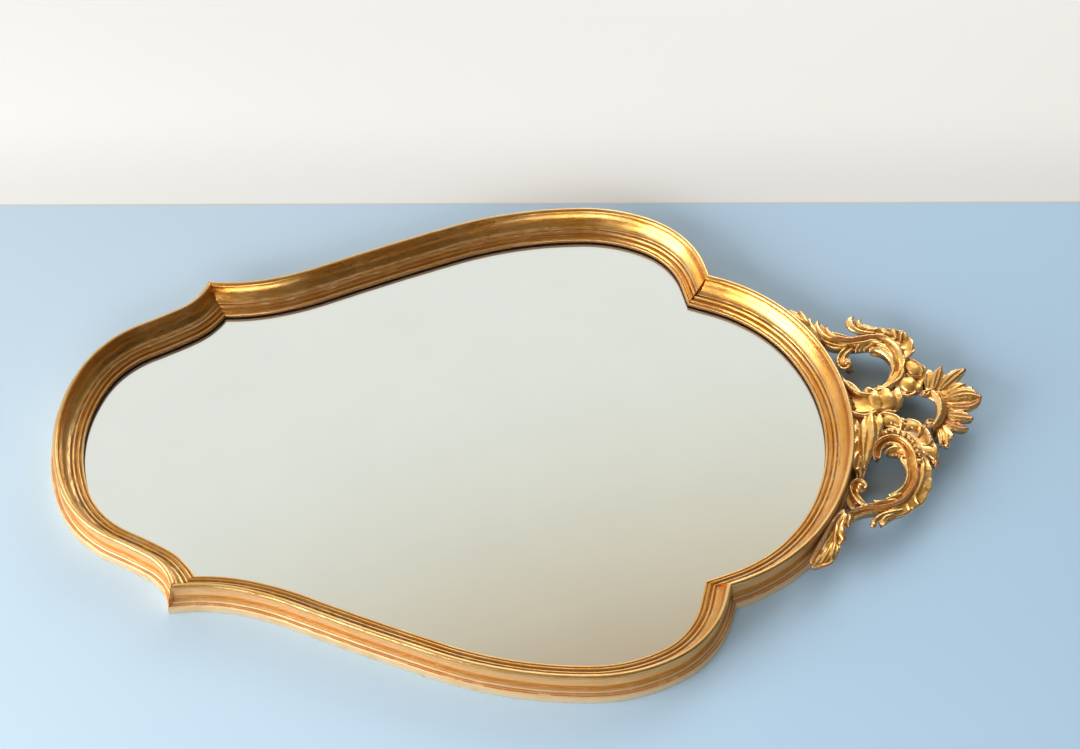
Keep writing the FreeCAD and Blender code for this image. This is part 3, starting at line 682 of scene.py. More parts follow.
# Rails, with the hangers' pockets and the seats of the crest's straps
bottom_spans, side_spans, top_spans = half_outline()
shoulder = (CUSP_RUN, TOP_TURN)
low_mitre = curved_mitre(bottom_spans[-1], side_spans[0], bottom_spans[-1][2], SECTION[:, 0])
low_mitre_right = low_mitre * [1, -1]
gold = moulding_gold()
left_side = rail("left_moulding", side_spans, low_mitre, shoulder, 1)
right_side = rail("right_moulding", flipped(side_spans), shoulder, low_mitre_right, 2)
bottom = rail("bottom_moulding", flipped(bottom_spans) + bottom_spans, low_mitre_right, low_mitre, 3)
top = rail("top_moulding", top_spans + flipped(top_spans), shoulder, shoulder, 4)
pocket, pocket_right = both_sides(POCKET, POCKET_DEPTH)
cut_boxes(left_side, [pocket])
cut_boxes(right_side, [pocket_right])
cut_boxes(top, both_sides(SEAT, SEAT_DEPTH))
for piece, node in ((left_side, "left_side_rail"), (right_side, "right_side_rail"),
                    (bottom, "bottom_rail"), (top, "top_rail")):
    piece.data.materials.append(gold)
    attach(piece, "frame")
    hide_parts(node)

# Materials of the nodes that stay as they are
brass = worn_metal("hanger_brass", rgb(192, 158, 96), rgb(120, 88, 50), 0.25)
wire = worn_metal("hanger_wire", rgb(200, 168, 106), rgb(132, 100, 58), 0.15, 0.24)
for node, material in (
    ("mirror_glass", clear_glass()),
    ("back_board", timber("board", rgb(158, 118, 76), rgb(118, 82, 50))),
    ("board_brads", worn_metal("brad_steel", rgb(132, 128, 120), rgb(84, 78, 72), 0.7)),
    ("mitre_splines", timber("spline_wood", rgb(176, 138, 92), rgb(138, 98, 60), 3.0)),
    ("crest_dowels", timber("dowel_wood", rgb(188, 150, 104), rgb(150, 112, 70), 3.0, stain=0.3)),
    ("crest_straps", worn_metal("strap_steel", rgb(138, 134, 126), rgb(92, 86, 80), 0.6)),
    ("crest_screws", worn_metal("screw_steel", rgb(156, 150, 136), rgb(104, 98, 90), 0.4, 0.26)),
    ("left_hanger_strap", brass), ("right_hanger_strap", brass),
    ("left_hanger_ring", wire), ("right_hanger_ring", wire),
    ("hanger_screws", worn_metal("hanger_screw", rgb(160, 152, 134), rgb(112, 98, 76), 0.3, 0.26)),
):
    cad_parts[node].data.materials.clear()
    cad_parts[node].data.materials.append(material)


def slab(name, offset, heights):
    """A flat plate inside the rebate, between two heights."""
    loop = outline_loop(offset)
    bm = bmesh.new()
    low, high = [[bm.verts.new((x * MM, y * MM, z * MM)) for x, y in loop] for z in heights]
    for i in range(len(loop)):
        j = (i + 1) % len(loop)
        bm.faces.new([low[i], low[j], high[j], high[i]])
    for ring in (low, high):
        bmesh.ops.triangulate(bm, faces=[bm.faces.new(ring)])
    bmesh.ops.recalc_face_normals(bm, faces=bm.faces)
    mesh = bpy.data.meshes.new(name)
    bm.to_mesh(mesh)
    bm.free()
    return new_object(name, mesh)


silver = slab("silvering", SILVER_OUT, SILVER_HEIGHTS)
silver.data.materials.append(silver_material())
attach(silver, "frame")


# Carved crest
EYE = (30.633, -1254.725, 1710.156)           # camera, in mm
SIGHT_APEX = SIGHT_LENGTH - MIDDLE            # row x of the sight edge's top
DRAWN_AT = 30.0                               # the strokes are drawn on a plane this high
CELL = 0.55
FIELD = np.array([[230.0, -182.0], [476.0, 162.0]])      # row x and y that the crest may fill
GRID = np.ceil((FIELD[1] - FIELD[0]) / CELL).astype(int)
RIDGE_OUT = 25.6                              # the crest stays outside this line of the rails
FAR = 60.0
LEAST_HALF_WIDTH = 0.3
EDGE_THICK, LEAST_THICK = 1.4, 1.0            # of a stroke at its sides, and of the whole piece
UNDERCUT, FLANK_POWER = 2.2, 1.7              # an underside's depth in half widths, and how it rises
OUTSIDE, OUTSIDE_SLOPE = 2.0, 4               # how far past its sides a stroke is drawn, and how it falls
MARGIN = 1.5                                  # kept round the inside of a piece
SPREAD_CELLS = 6
CHISEL_MARKS = ((0.16, 5.0), (0.09, 1.9))     # depth and size of the tool's marks
HOLLOW_EDGE, HOLLOW_FLOOR = 6, 14             # under the mean height, outside a piece and at the deepest
TOP_SKIN, TOP_FADE = 3, 2.5                   # depth that the paint of the top reaches, and where it fades
# heights, and distance inside, of a cell that no stroke has reached
NO_TOP, NO_BOTTOM, NO_INSIDE = -50.0, 90.0, -9.0


def seen_at(a, b, z):
    """Row x and y of a stroke's point: drawn as it lines up from the front, slid to its own height."""
    x, y = SIGHT_APEX + a, b
    slide = (DRAWN_AT - z) / (EYE[2] - DRAWN_AT)
    return x + (x - EYE[0]) * slide, y + (y - EYE[1]) * slide


def spline(points, step=0.9):
    """Catmull-Rom through rows of numbers; the first two columns are the place."""
    p = np.asarray(points, float)
    if len(p) == 1:
        p = np.vstack([p, p + np.eye(p.shape[1])[0] * 0.01])
    ext = np.vstack([2 * p[0] - p[1], p, 2 * p[-1] - p[-2]])
    out = []
    for i in range(len(p) - 1):
        a, b, c, d = ext[i:i + 4]
        n = max(1, int(math.hypot(*(c - b)[:2]) / step))
        for t in np.arange(n) / n:
            out.append(0.5 * (2 * b + (c - a) * t + (2 * a - 5 * b + 4 * c - d) * t * t
                              + (3 * b - a - 3 * c + d) * t ** 3))
    return np.array(out + [p[-1]])


# Forms of a stroke: its height at s, -1..1 across it, t mm along it, where its half width is w
def edge_drop(s, start):
    """0 up to start, then falling to -1 at the edge."""
    u = np.clip((np.abs(s) - start) / (1 - start), 0, 1)
    return np.sqrt(np.clip(1 - u * u, 0, 1)) - 1


def round_form(s, t, w, k=0.85):
    return w * k * edge_drop(s, 0)


def ridge_form(s, t, w, k=0.7, at=0.0):
    """A sharp crest, at a share of the width to one side."""
    u = np.where(s > at, (s - at) / (1 - at), (at - s) / (1 + at))
    return -w * k * (0.75 * u + 0.25 * u * u) + edge_drop(s, 0.8) * w * 0.25


def gutter_form(s, t, w, depth=2.0, rim=0.72):
    """A channel between two raised rims."""
    u = np.clip(np.abs(s) / rim, 0, 1)
    return -depth * (1 - u * u * (3 - 2 * u)) + edge_drop(s, rim) * w * 0.6


def veined(s, cup, veins, amp):
    """A leaf with lengthwise veins, its edges turned up."""
    return cup * (s * s - 0.5) + amp * np.cos(2 * math.pi * veins * (s + 1) / 2)


def petal_form(s, t, w, cup=1.2, veins=2, amp=0.5):
    return veined(s, cup, veins, amp) + edge_drop(s, 0.82) * (0.3 * w + 0.6)


def sheet_form(s, t, w, cup=0.8, veins=2, amp=0.4, tilt=0.0):
    """A broad leaf with a thin rounded edge."""
    return veined(s, cup, veins, amp) + tilt * s + edge_drop(s, 0.88) * 1.5


def ruffle_form(s, t, w, cup=1.4, amp=0.7, pitch=7.0, lean=0.5, tilt=0.0):
    """A leaf's edge with ribs across it."""
    ribs = amp * np.cos(2 * math.pi * (t + lean * w * s) / pitch) * np.clip(0.35 + 0.65 * np.abs(s), 0, 1)
    return cup * (s * s - 0.5) + ribs + tilt * s + edge_drop(s, 0.84) * (0.25 * w + 0.6)


def cells(low, high):
    """Row x and y of the grid's cells between two corners."""
    return np.meshgrid(*(FIELD[0][k] + CELL * np.arange(low[k], high[k]) for k in (0, 1)), indexing="ij")


def window(xy, reach):
    """Slices of the grid within reach of a line, and the row x and y of their cells."""
    low = np.maximum(((xy.min(0) - reach - FIELD[0]) / CELL).astype(int), 0)
    high = np.minimum(((xy.max(0) + reach - FIELD[0]) / CELL).astype(int) + 2, GRID)
    return (slice(low[0], high[0]), slice(low[1], high[1])), *cells(low, high)


def lay(fields, points, form, low=None, scallop=None, blend=0.5, red=0.0, dust=0.0, **options):
    """Add one stroke to the top, bottom, inside and paint fields of a carved piece.

    low is the height of the stroke's underside at its middle, scallop is (pitch, depth, side) in mm
    and -1, 0 or 1, and red and dust say how far it is painted so.
    """
    top, bottom, inside, painted_red, painted_dust = fields
    line = spline([(*seen_at(a, b, z), w, z) for a, b, w, z in points])
    xy, width, height = line[:, :2], np.maximum(line[:, 2], LEAST_HALF_WIDTH), line[:, 3]
    part, px, py = window(xy, width.max() * 1.3 + 2.5)
    steps = np.diff(xy, axis=0)
    length = np.maximum(np.hypot(*steps.T), 1e-6)
    run = np.concatenate([[0], np.cumsum(length)])
    best, share, side = np.full(px.shape, 1e9), np.zeros(px.shape), np.zeros(px.shape)
    where = np.zeros(px.shape, int)
    for k, (dx, dy) in enumerate(steps):
        rx, ry = px - xy[k, 0], py - xy[k, 1]
        u = np.clip((rx * dx + ry * dy) / length[k] ** 2, 0, 1)
        ex, ey = rx - u * dx, ry - u * dy
        away = ex * ex + ey * ey
        nearer = away < best
        best[nearer], where[nearer], share[nearer] = away[nearer], k, u[nearer]
        side[nearer] = np.sign(dx * ey - dy * ex)[nearer]
    away = np.sqrt(best)
    w = width[where] * (1 - share) + width[where + 1] * share
    z = height[where] * (1 - share) + height[where + 1] * share
    t = run[where] + share * length[where]
    if scallop:
        pitch, depth, which = scallop
        lobe = np.abs(np.sin(math.pi * t / pitch)) ** 0.7 - 0.6
        w = w + depth * lobe * (np.where(side == which, 1, 0) if which else 1)
    inner = w - away
    s = np.clip(side * away / w, -1, 1)
    face = z + form(s, t, w, **options)
    floor = z - UNDERCUT * w if low is None else low
    edge = face - EDGE_THICK
    under = np.minimum(floor + (edge - floor) * np.abs(s) ** FLANK_POWER, edge)
    fall = OUTSIDE_SLOPE * np.maximum(-inner, 0)
    face, under = face - fall, under + fall
    near = inner > -OUTSIDE
    old = top[part]
    gap = np.clip(blend - np.abs(old - face), 0, None)
    top[part] = np.where(near, np.maximum(old, face) + gap * gap / (4 * blend), old)
    shows = near & (inner > 0) & (face >= old - 0.1)
    fade = np.clip(1.15 - s ** 2, 0, 1)
    for paint, amount in ((painted_red, red), (painted_dust, dust)):
        paint[part] = np.where(shows, amount * fade, paint[part])
    bottom[part] = np.where(near, np.minimum(bottom[part], under), bottom[part])
    inside[part] = np.maximum(inside[part], inner)


def dig_out(fields, points, depth):
    """Cut a narrow groove into what is there."""
    top, bottom = fields[:2]
    line = spline([(*seen_at(a, b, z), w) for a, b, w, z in points])
    part, px, py = window(line[:, :2], line[:, 2].max() + 1.5)
    away = np.full(px.shape, 1e9)
    for x, y, w in line:
        away = np.minimum(away, np.hypot(px - x, py - y) / max(w, LEAST_HALF_WIDTH))
    top[part] = np.maximum(top[part] - depth * np.clip(1 - away * away, 0, 1), bottom[part] + 0.8)


def stroke(form, *points, **options):
    return lay, points, {"form": form, **options}


def ball(a, b, radius, z):
    """A knob: z is the height of its top."""
    return stroke(round_form, (a, b, radius, z), low=z - 2 * radius, k=1.0)


def dig(*points, depth):
    return dig_out, points, {"depth": depth}


roll, ridge, gutter, petal, sheet, ruffle = [
    partial(stroke, form)
    for form in (round_form, ridge_form, gutter_form, petal_form, sheet_form, ruffle_form)]


def edge_guard():
    """Distance outside the ridge of the rails, over the crest's grid."""
    a = outline_loop(RIDGE_OUT, 3.0)
    b = np.roll(a, -1, 0)
    xs, ys = cells((0, 0), GRID)
    outside = np.full(xs.shape, FAR, np.float32)
    for i, (x, y) in enumerate(zip(xs[:, 0], ys)):
        near = (np.minimum(a[:, 0], b[:, 0]) < x + FAR) & (np.maximum(a[:, 0], b[:, 0]) > x - FAR)
        if not near.any():
            continue
        way = b[near] - a[near]
        rx, ry = x - a[near, 0], y[:, None] - a[near, 1]
        u = np.clip((rx * way[:, 0] + ry * way[:, 1]) / (way ** 2).sum(1), 0, 1)
        away = np.hypot(rx - u * way[:, 0], ry - u * way[:, 1]).min(1)
        hits = (a[:, 0] <= x) != (b[:, 0] <= x)
        crossing = a[hits, 1] + (x - a[hits, 0]) * (b[hits, 1] - a[hits, 1]) / (b[hits, 0] - a[hits, 0])
        outside[i] = np.where((y[:, None] < crossing).sum(1) % 2 == 1, -away, away)
    return outside


def blurred(field, radius):
    """Box blur twice, in cells."""
    n = 2 * radius + 1
    for axis in (0, 1, 0, 1):
        pad = [(radius + 1, radius) if k == axis else (0, 0) for k in (0, 1)]
        total = np.cumsum(np.pad(field, pad, mode="edge"), axis=axis)
        field = (np.take(total, range(n, total.shape[axis]), axis)
                 - np.take(total, range(total.shape[axis] - n), axis)) / n
    return field


def spread(field, known):
    """The field's known values, carried on outwards for a few cells."""
    out, have = np.where(known, field, 0.0), known.copy()
    for _ in range(SPREAD_CELLS):
        total, count = np.zeros_like(out), np.zeros_like(out)
        for step in ((1, 0), (-1, 0), (0, 1), (0, -1)):
            total += np.roll(out * have, step, (0, 1))
            count += np.roll(have, step, (0, 1))
        fresh = ~have & (count > 0)
        out[fresh] = total[fresh] / count[fresh]
        have |= fresh
    return np.where(have, out, field.clip(NO_TOP, NO_BOTTOM))


def steepness(field, low):
    """Length of a height field's gradient, with 1 for its own direction."""
    slope = np.hypot(*np.gradient(np.clip(field, low, 60), CELL))
    return np.sqrt(1 + np.clip(slope, 0, 20) ** 2)


def skin(top, bottom, inside, corner):
    """Corner points in mm and quads of the surface round the space between two height fields."""
    z0, z1 = bottom[inside > 0].min() - MARGIN, top[inside > 0].max() + MARGIN
    zs = np.arange(z0, z1, CELL)
    f = np.maximum((zs - top[:, :, None]) / steepness(top, 0)[:, :, None],
                   (bottom[:, :, None] - zs) / steepness(bottom, -5)[:, :, None])
    f = np.clip(np.maximum(f, -inside[:, :, None]), -OUTSIDE, OUTSIDE).astype(np.float32)
    grid = openvdb.FloatGrid(OUTSIDE)
    grid.copyFromArray(np.pad(f, 1, constant_values=OUTSIDE))
    points, quads = grid.convertToQuads(isovalue=0.0)
    verts = (points - 1.0) * CELL + [*corner, z0]
    # ease the voxels' steps
    edges = np.concatenate([quads[:, [k, (k + 1) % 4]] for k in range(4)])
    count = np.bincount(edges.ravel(), minlength=len(verts)).astype(float)
    for _ in range(2):
        total = np.stack([np.bincount(edges[:, 0], verts[edges[:, 1], k], len(verts))
                          + np.bincount(edges[:, 1], verts[edges[:, 0], k], len(verts)) for k in range(3)], 1)
        verts = verts + 0.5 * (total / np.maximum(count, 1)[:, None] - verts)
    return verts, quads


def carve(name, strokes, guard, seed):
    """Mesh of one carved piece from its strokes."""
    fields = [np.full(GRID, value) for value in (NO_TOP, NO_BOTTOM, NO_INSIDE, 0.0, 0.0)]
    for work, points, options in strokes:
        work(fields, points, **options)
    fields[2] = np.minimum(blurred(fields[2], 1), guard)
    used = np.argwhere(fields[2] > -MARGIN)
    low, high = used.min(0), used.max(0) + 1
    top, bottom, inside, red, dust = [v[low[0]:high[0], low[1]:high[1]] for v in fields]
    known = inside > -MARGIN - 0.1
    top, bottom = spread(top, known), spread(bottom, known)
    bottom = np.minimum(blurred(bottom, 2), top - LEAST_THICK)
    top = 0.4 * top + 0.6 * blurred(top, 1)
    px, py = cells(low, high)
    flat = np.column_stack([px.ravel(), py.ravel(), np.zeros(px.size)])
    marks = sum(depth * hash_noise(flat / size + seed, seed + k)
                for k, (depth, size) in enumerate(CHISEL_MARKS))
    top = np.where(top > NO_TOP / 2, top + marks.reshape(top.shape), top)
    mean = top[inside > 0].mean()
    filled = np.where(inside > 0, top, np.minimum(top, mean - HOLLOW_EDGE))
    filled = np.clip(filled, mean - HOLLOW_FLOOR, None)
    verts, quads = skin(top, bottom, inside, (px[0, 0], py[0, 0]))
    obj = new_mesh(name, verts, quads)
    i, j = [np.clip(((verts[:, k] - (px, py)[k][0, 0]) / CELL).round().astype(int), 0, top.shape[k] - 1)
            for k in (0, 1)]
    on_top = np.clip((verts[:, 2] - (top[i, j] - TOP_SKIN)) / TOP_FADE, 0, 1)
    for key, field in (("hollow", blurred(filled, 4) - filled), ("wide", blurred(filled, 9) - filled),
                       ("red", blurred(red, 1))):
        set_attribute(obj.data, key, field[i, j] * on_top)
    # below the top skin: the material darkens these sides and undersides, painted shade
    set_attribute(obj.data, "under", 1 - on_top)
    set_attribute(obj.data, "dust", blurred(dust, 2)[i, j])
    return obj


# Strokes of the carving, in mm: points are (along, across, half width, height) from the sight edge's top
LEFT_SCROLL = [
    # root leaf against the rail
    sheet((2, 131, 3, 25), (6, 121, 6.5, 26.5), (13, 113, 8.5, 27.5), (24, 109, 8.5, 28), (34, 108, 6, 28.5),
        cup=1, veins=2, amp=0.5, low=9),
    gutter((2, 124, 2.5, 27), (7, 113, 5, 26), (15, 106, 6.5, 26), (26, 105, 6, 27), (38, 108, 5, 28),
        depth=2.4, low=9),
    roll((3.5, 137.5, 1, 28), (1.5, 131, 2.4, 29), (4, 122, 3.2, 30), (10, 114, 3, 30), (19, 110, 2.2, 30),
        (30, 108.5, 1.4, 29)),
    roll((11.5, 129, 0.8, 28), (12, 123, 2, 29), (17, 116, 2.4, 30.5), (26, 112.5, 2, 31)),
    roll((8, 104, 1, 26), (15, 99, 2, 27), (22, 98.5, 2.2, 27.5), (30, 102, 1.6, 28.5), (38, 105, 1, 28)),
    # main band
    gutter((20, 109, 3, 28), (34, 108, 4.5, 30), (48, 111, 5.2, 30.5), (60, 111, 6.5, 31), (71, 106, 7.4, 31),
        (78.5, 97, 7.6, 31), (81, 85, 7, 31), (80, 73, 6, 30.5), (76, 62, 5, 30), (69, 53, 3.4, 29),
        (62, 47.5, 2.2, 28.5), depth=2.8, rim=0.8, low=11),
    roll((17, 116.5, 1, 30), (24, 114, 1.7, 31.5), (34, 112, 1.7, 32), (45, 114, 1.6, 32.5),
        (56, 116, 1.6, 32.5), (66, 115.5, 1.6, 32.5), (75, 112, 1.6, 32.5), (82, 104.5, 1.5, 32.5),
        (86, 95.5, 1.4, 32), (87, 89, 1, 31), red=0.45),
    roll((10, 112, 0.8, 29.5), (20, 112.5, 1.2, 31), (30, 110.5, 1.3, 31.6), (40, 110.8, 1.3, 32),
        (50, 112.5, 1.1, 32), (60, 113, 0.8, 31.5), red=1.1),
    roll((88, 80, 1.2, 31), (85.5, 74, 1.6, 31.5), (85, 67, 1.6, 31.5), (82, 60, 1.6, 31),
        (76.5, 54.5, 1.5, 30.5), (69, 49.5, 1.5, 30), (60, 44.5, 1.7, 30), (51, 43, 1.8, 30),
        (43, 42, 1.4, 29), (39.5, 40.5, 0.8, 28)),
    roll((82, 84, 0.6, 30), (82.5, 74, 1.3, 31), (80, 65, 1.4, 31), (74.5, 56.5, 1.3, 30.5),
        (68, 51, 1, 29.5)),
    # inner leaf of the band, turned over at the opening
    ridge((53, 94.5, 1, 27), (60, 98.5, 3.2, 30), (67, 96.5, 3.8, 31.5), (72.5, 89, 3.4, 31.5),
        (75.5, 80, 3, 31), (75, 70, 2.8, 30.5), (72, 62, 2.5, 30), (68, 55, 1.8, 29.5), (65.5, 52, 0.8, 28),
        k=0.9, at=0.2),
    roll((55, 90, 1.6, 23), (64, 89, 2.6, 24), (70, 83, 2.4, 24), (72.5, 75, 1.6, 24)),
    # strands into the opening
    roll((38.5, 92.5, 1, 26), (40, 98, 1.7, 28), (45, 104, 1.7, 29.5), (53, 108.5, 1.5, 31),
        (62, 110, 1, 31)),
    roll((42.5, 93.5, 0.8, 26), (45.5, 99.5, 1.4, 28), (51, 104.5, 1.4, 29.5), (59, 107.5, 1.2, 30.5),
        (67, 107, 0.8, 30.5)),
    roll((47, 93, 0.8, 26), (50, 98.5, 1.4, 28), (56, 103, 1.4, 29.5), (64, 104.5, 1.2, 30.5),
        (71, 102, 0.8, 30.5)),
    gutter((36, 97, 2, 25), (44, 101, 5, 27), (54, 103, 6, 28), (64, 101, 5, 28), depth=1, low=14),
    # small volute
    gutter((37, 103, 2.4, 27), (31, 97, 3.6, 27), (25, 90, 3.6, 27), (22, 82, 3.2, 27), depth=1.2, low=12),
    roll((30, 100, 1, 28), (24.5, 95, 1.4, 28.5), (20.5, 89, 1.6, 28.5), (18.5, 82, 1.6, 28.5),
        (19.5, 75, 1.8, 28.5), (23.5, 71.5, 2, 28.5), (28.5, 73, 2, 28.5), (31.5, 78, 1.9, 29),
        (31, 83, 1.6, 29.5), (28, 85, 1.2, 29.5)),
    ball(28.5, 80, 3.2, 30),
    roll((25.5, 80, 5.6, 27.6), low=15, k=0.5),
    roll((30, 71, 4.6, 19)),
    # curled leaf on the outer side
    sheet((40, 130, 4, 27), (47, 126, 6, 27.5), (56, 122, 6, 28), (68, 120, 5, 28), cup=0.6, veins=2, amp=0.3,
        low=13),
    roll((39.2, 141, 2.6, 30), (36.5, 137, 4, 31.5), (36, 132, 4.6, 31.5), (38.5, 127, 4.2, 31.5),
        (44, 122.5, 3.2, 31), (51, 120, 2.2, 30.5), (60, 119, 1.4, 30), k=0.75),
    roll((38.5, 136, 0.8, 32), (38.5, 131, 1.2, 32), (41, 125.5, 1, 31.5), (46, 121.5, 0.7, 30.5)),
    ridge((47, 137.5, 2, 29.5), (45.5, 133.5, 3.2, 30.5), (48, 128.5, 3.8, 30.5), (54, 124.5, 3.4, 29.5),
        (62, 122.5, 3.2, 29), (70, 120.5, 3, 28.5), (76, 118, 2, 28), k=0.7),
    ruffle((50, 118, 2, 28), (62, 119, 4.6, 28.5), (74, 117.5, 6, 28), (83.5, 114, 8, 27.5),
        (90.5, 106, 8.6, 27.5), (93.5, 97, 6.8, 27.5), (92.5, 90, 4, 28), cup=1.8, amp=0.5, pitch=10.5,
        lean=0.3, tilt=1.2, scallop=(10.5, 2.2, 1), low=14),
    roll((67, 125.5, 0.8, 29.5), (72, 121.5, 1.3, 30), (79, 116, 1, 29)),
    roll((80, 123.5, 0.9, 29.5), (82, 119, 1.4, 30), (83, 112, 1, 29)),
    roll((90, 121.5, 1, 29.5), (88.5, 116, 1.6, 30.5), (87, 108, 1.2, 29)),
    roll((97, 110, 1, 28.5), (98.5, 103, 1.6, 29.5), (96.5, 95, 1.2, 28.5)),
    ball(90.5, 86.5, 3.8, 32), ball(87.5, 81.5, 2.2, 31),
    # shell lobes below the knob
    sheet((87, 82, 4, 25), (94, 74, 9.5, 26), (97, 63, 9.5, 26), (93, 52, 9.5, 26), (85, 45, 7.5, 25.5),
        cup=0.6, veins=1, amp=0.2, low=11, dust=0.5),
    sheet((88.5, 81, 3, 28), (93.5, 76.5, 7.5, 29), (98.5, 71.5, 9, 29.2), (103, 68, 6.5, 28), cup=-0.5,
        veins=1, amp=-0.2, low=12, scallop=(8, 0.8, 1), blend=1.5),
    roll((90, 83.5, 1, 29), (95, 83, 1.5, 30), (101, 79, 1.8, 30.5), (105, 73.5, 1.8, 30.5),
        (105.5, 67.5, 1.2, 29.5), red=0.6),
    roll((87.5, 64, 1, 28.5), (92, 61.3, 1.5, 29.5), (98, 60.5, 1.5, 29.5), (103, 61, 1, 28), red=0.9),
    roll((83, 58.5, 4, 28.4), (86.5, 55.5, 8, 30.2), (91, 51.5, 9.4, 30.8), (96.5, 47.5, 7, 29), k=0.38,
        low=12, scallop=(9, 0.8, 1), blend=1.5),
    sheet((79, 55, 3, 26.5), (80, 48, 5, 27), (82, 42, 5, 27), cup=1.2, veins=1, amp=0.1, low=12, dust=0.9),
    roll((74, 40, 1.2, 27), (79, 37.2, 2.4, 29), (84, 36.2, 1.8, 28.5), (88.5, 36.8, 2.5, 29.5),
        (92.5, 38.5, 2, 29), (95, 41.5, 1.2, 28), k=1),
    # wave under the opening
    sheet((49, 42.5, 3, 28), (58, 44, 3.6, 28.5), (67, 48, 4.4, 29), (74, 55, 4.8, 29.5), (79, 63, 4, 29.5),
        cup=-0.6, veins=2, amp=0.3, low=12),
    roll((41.5, 40, 2, 27), (44, 43.5, 3.6, 30), (47.5, 45, 3.8, 31), (51, 43.5, 2.6, 30.5),
        (56, 44, 1.6, 30)),
    ball(57.5, 49.5, 1.8, 29),
]
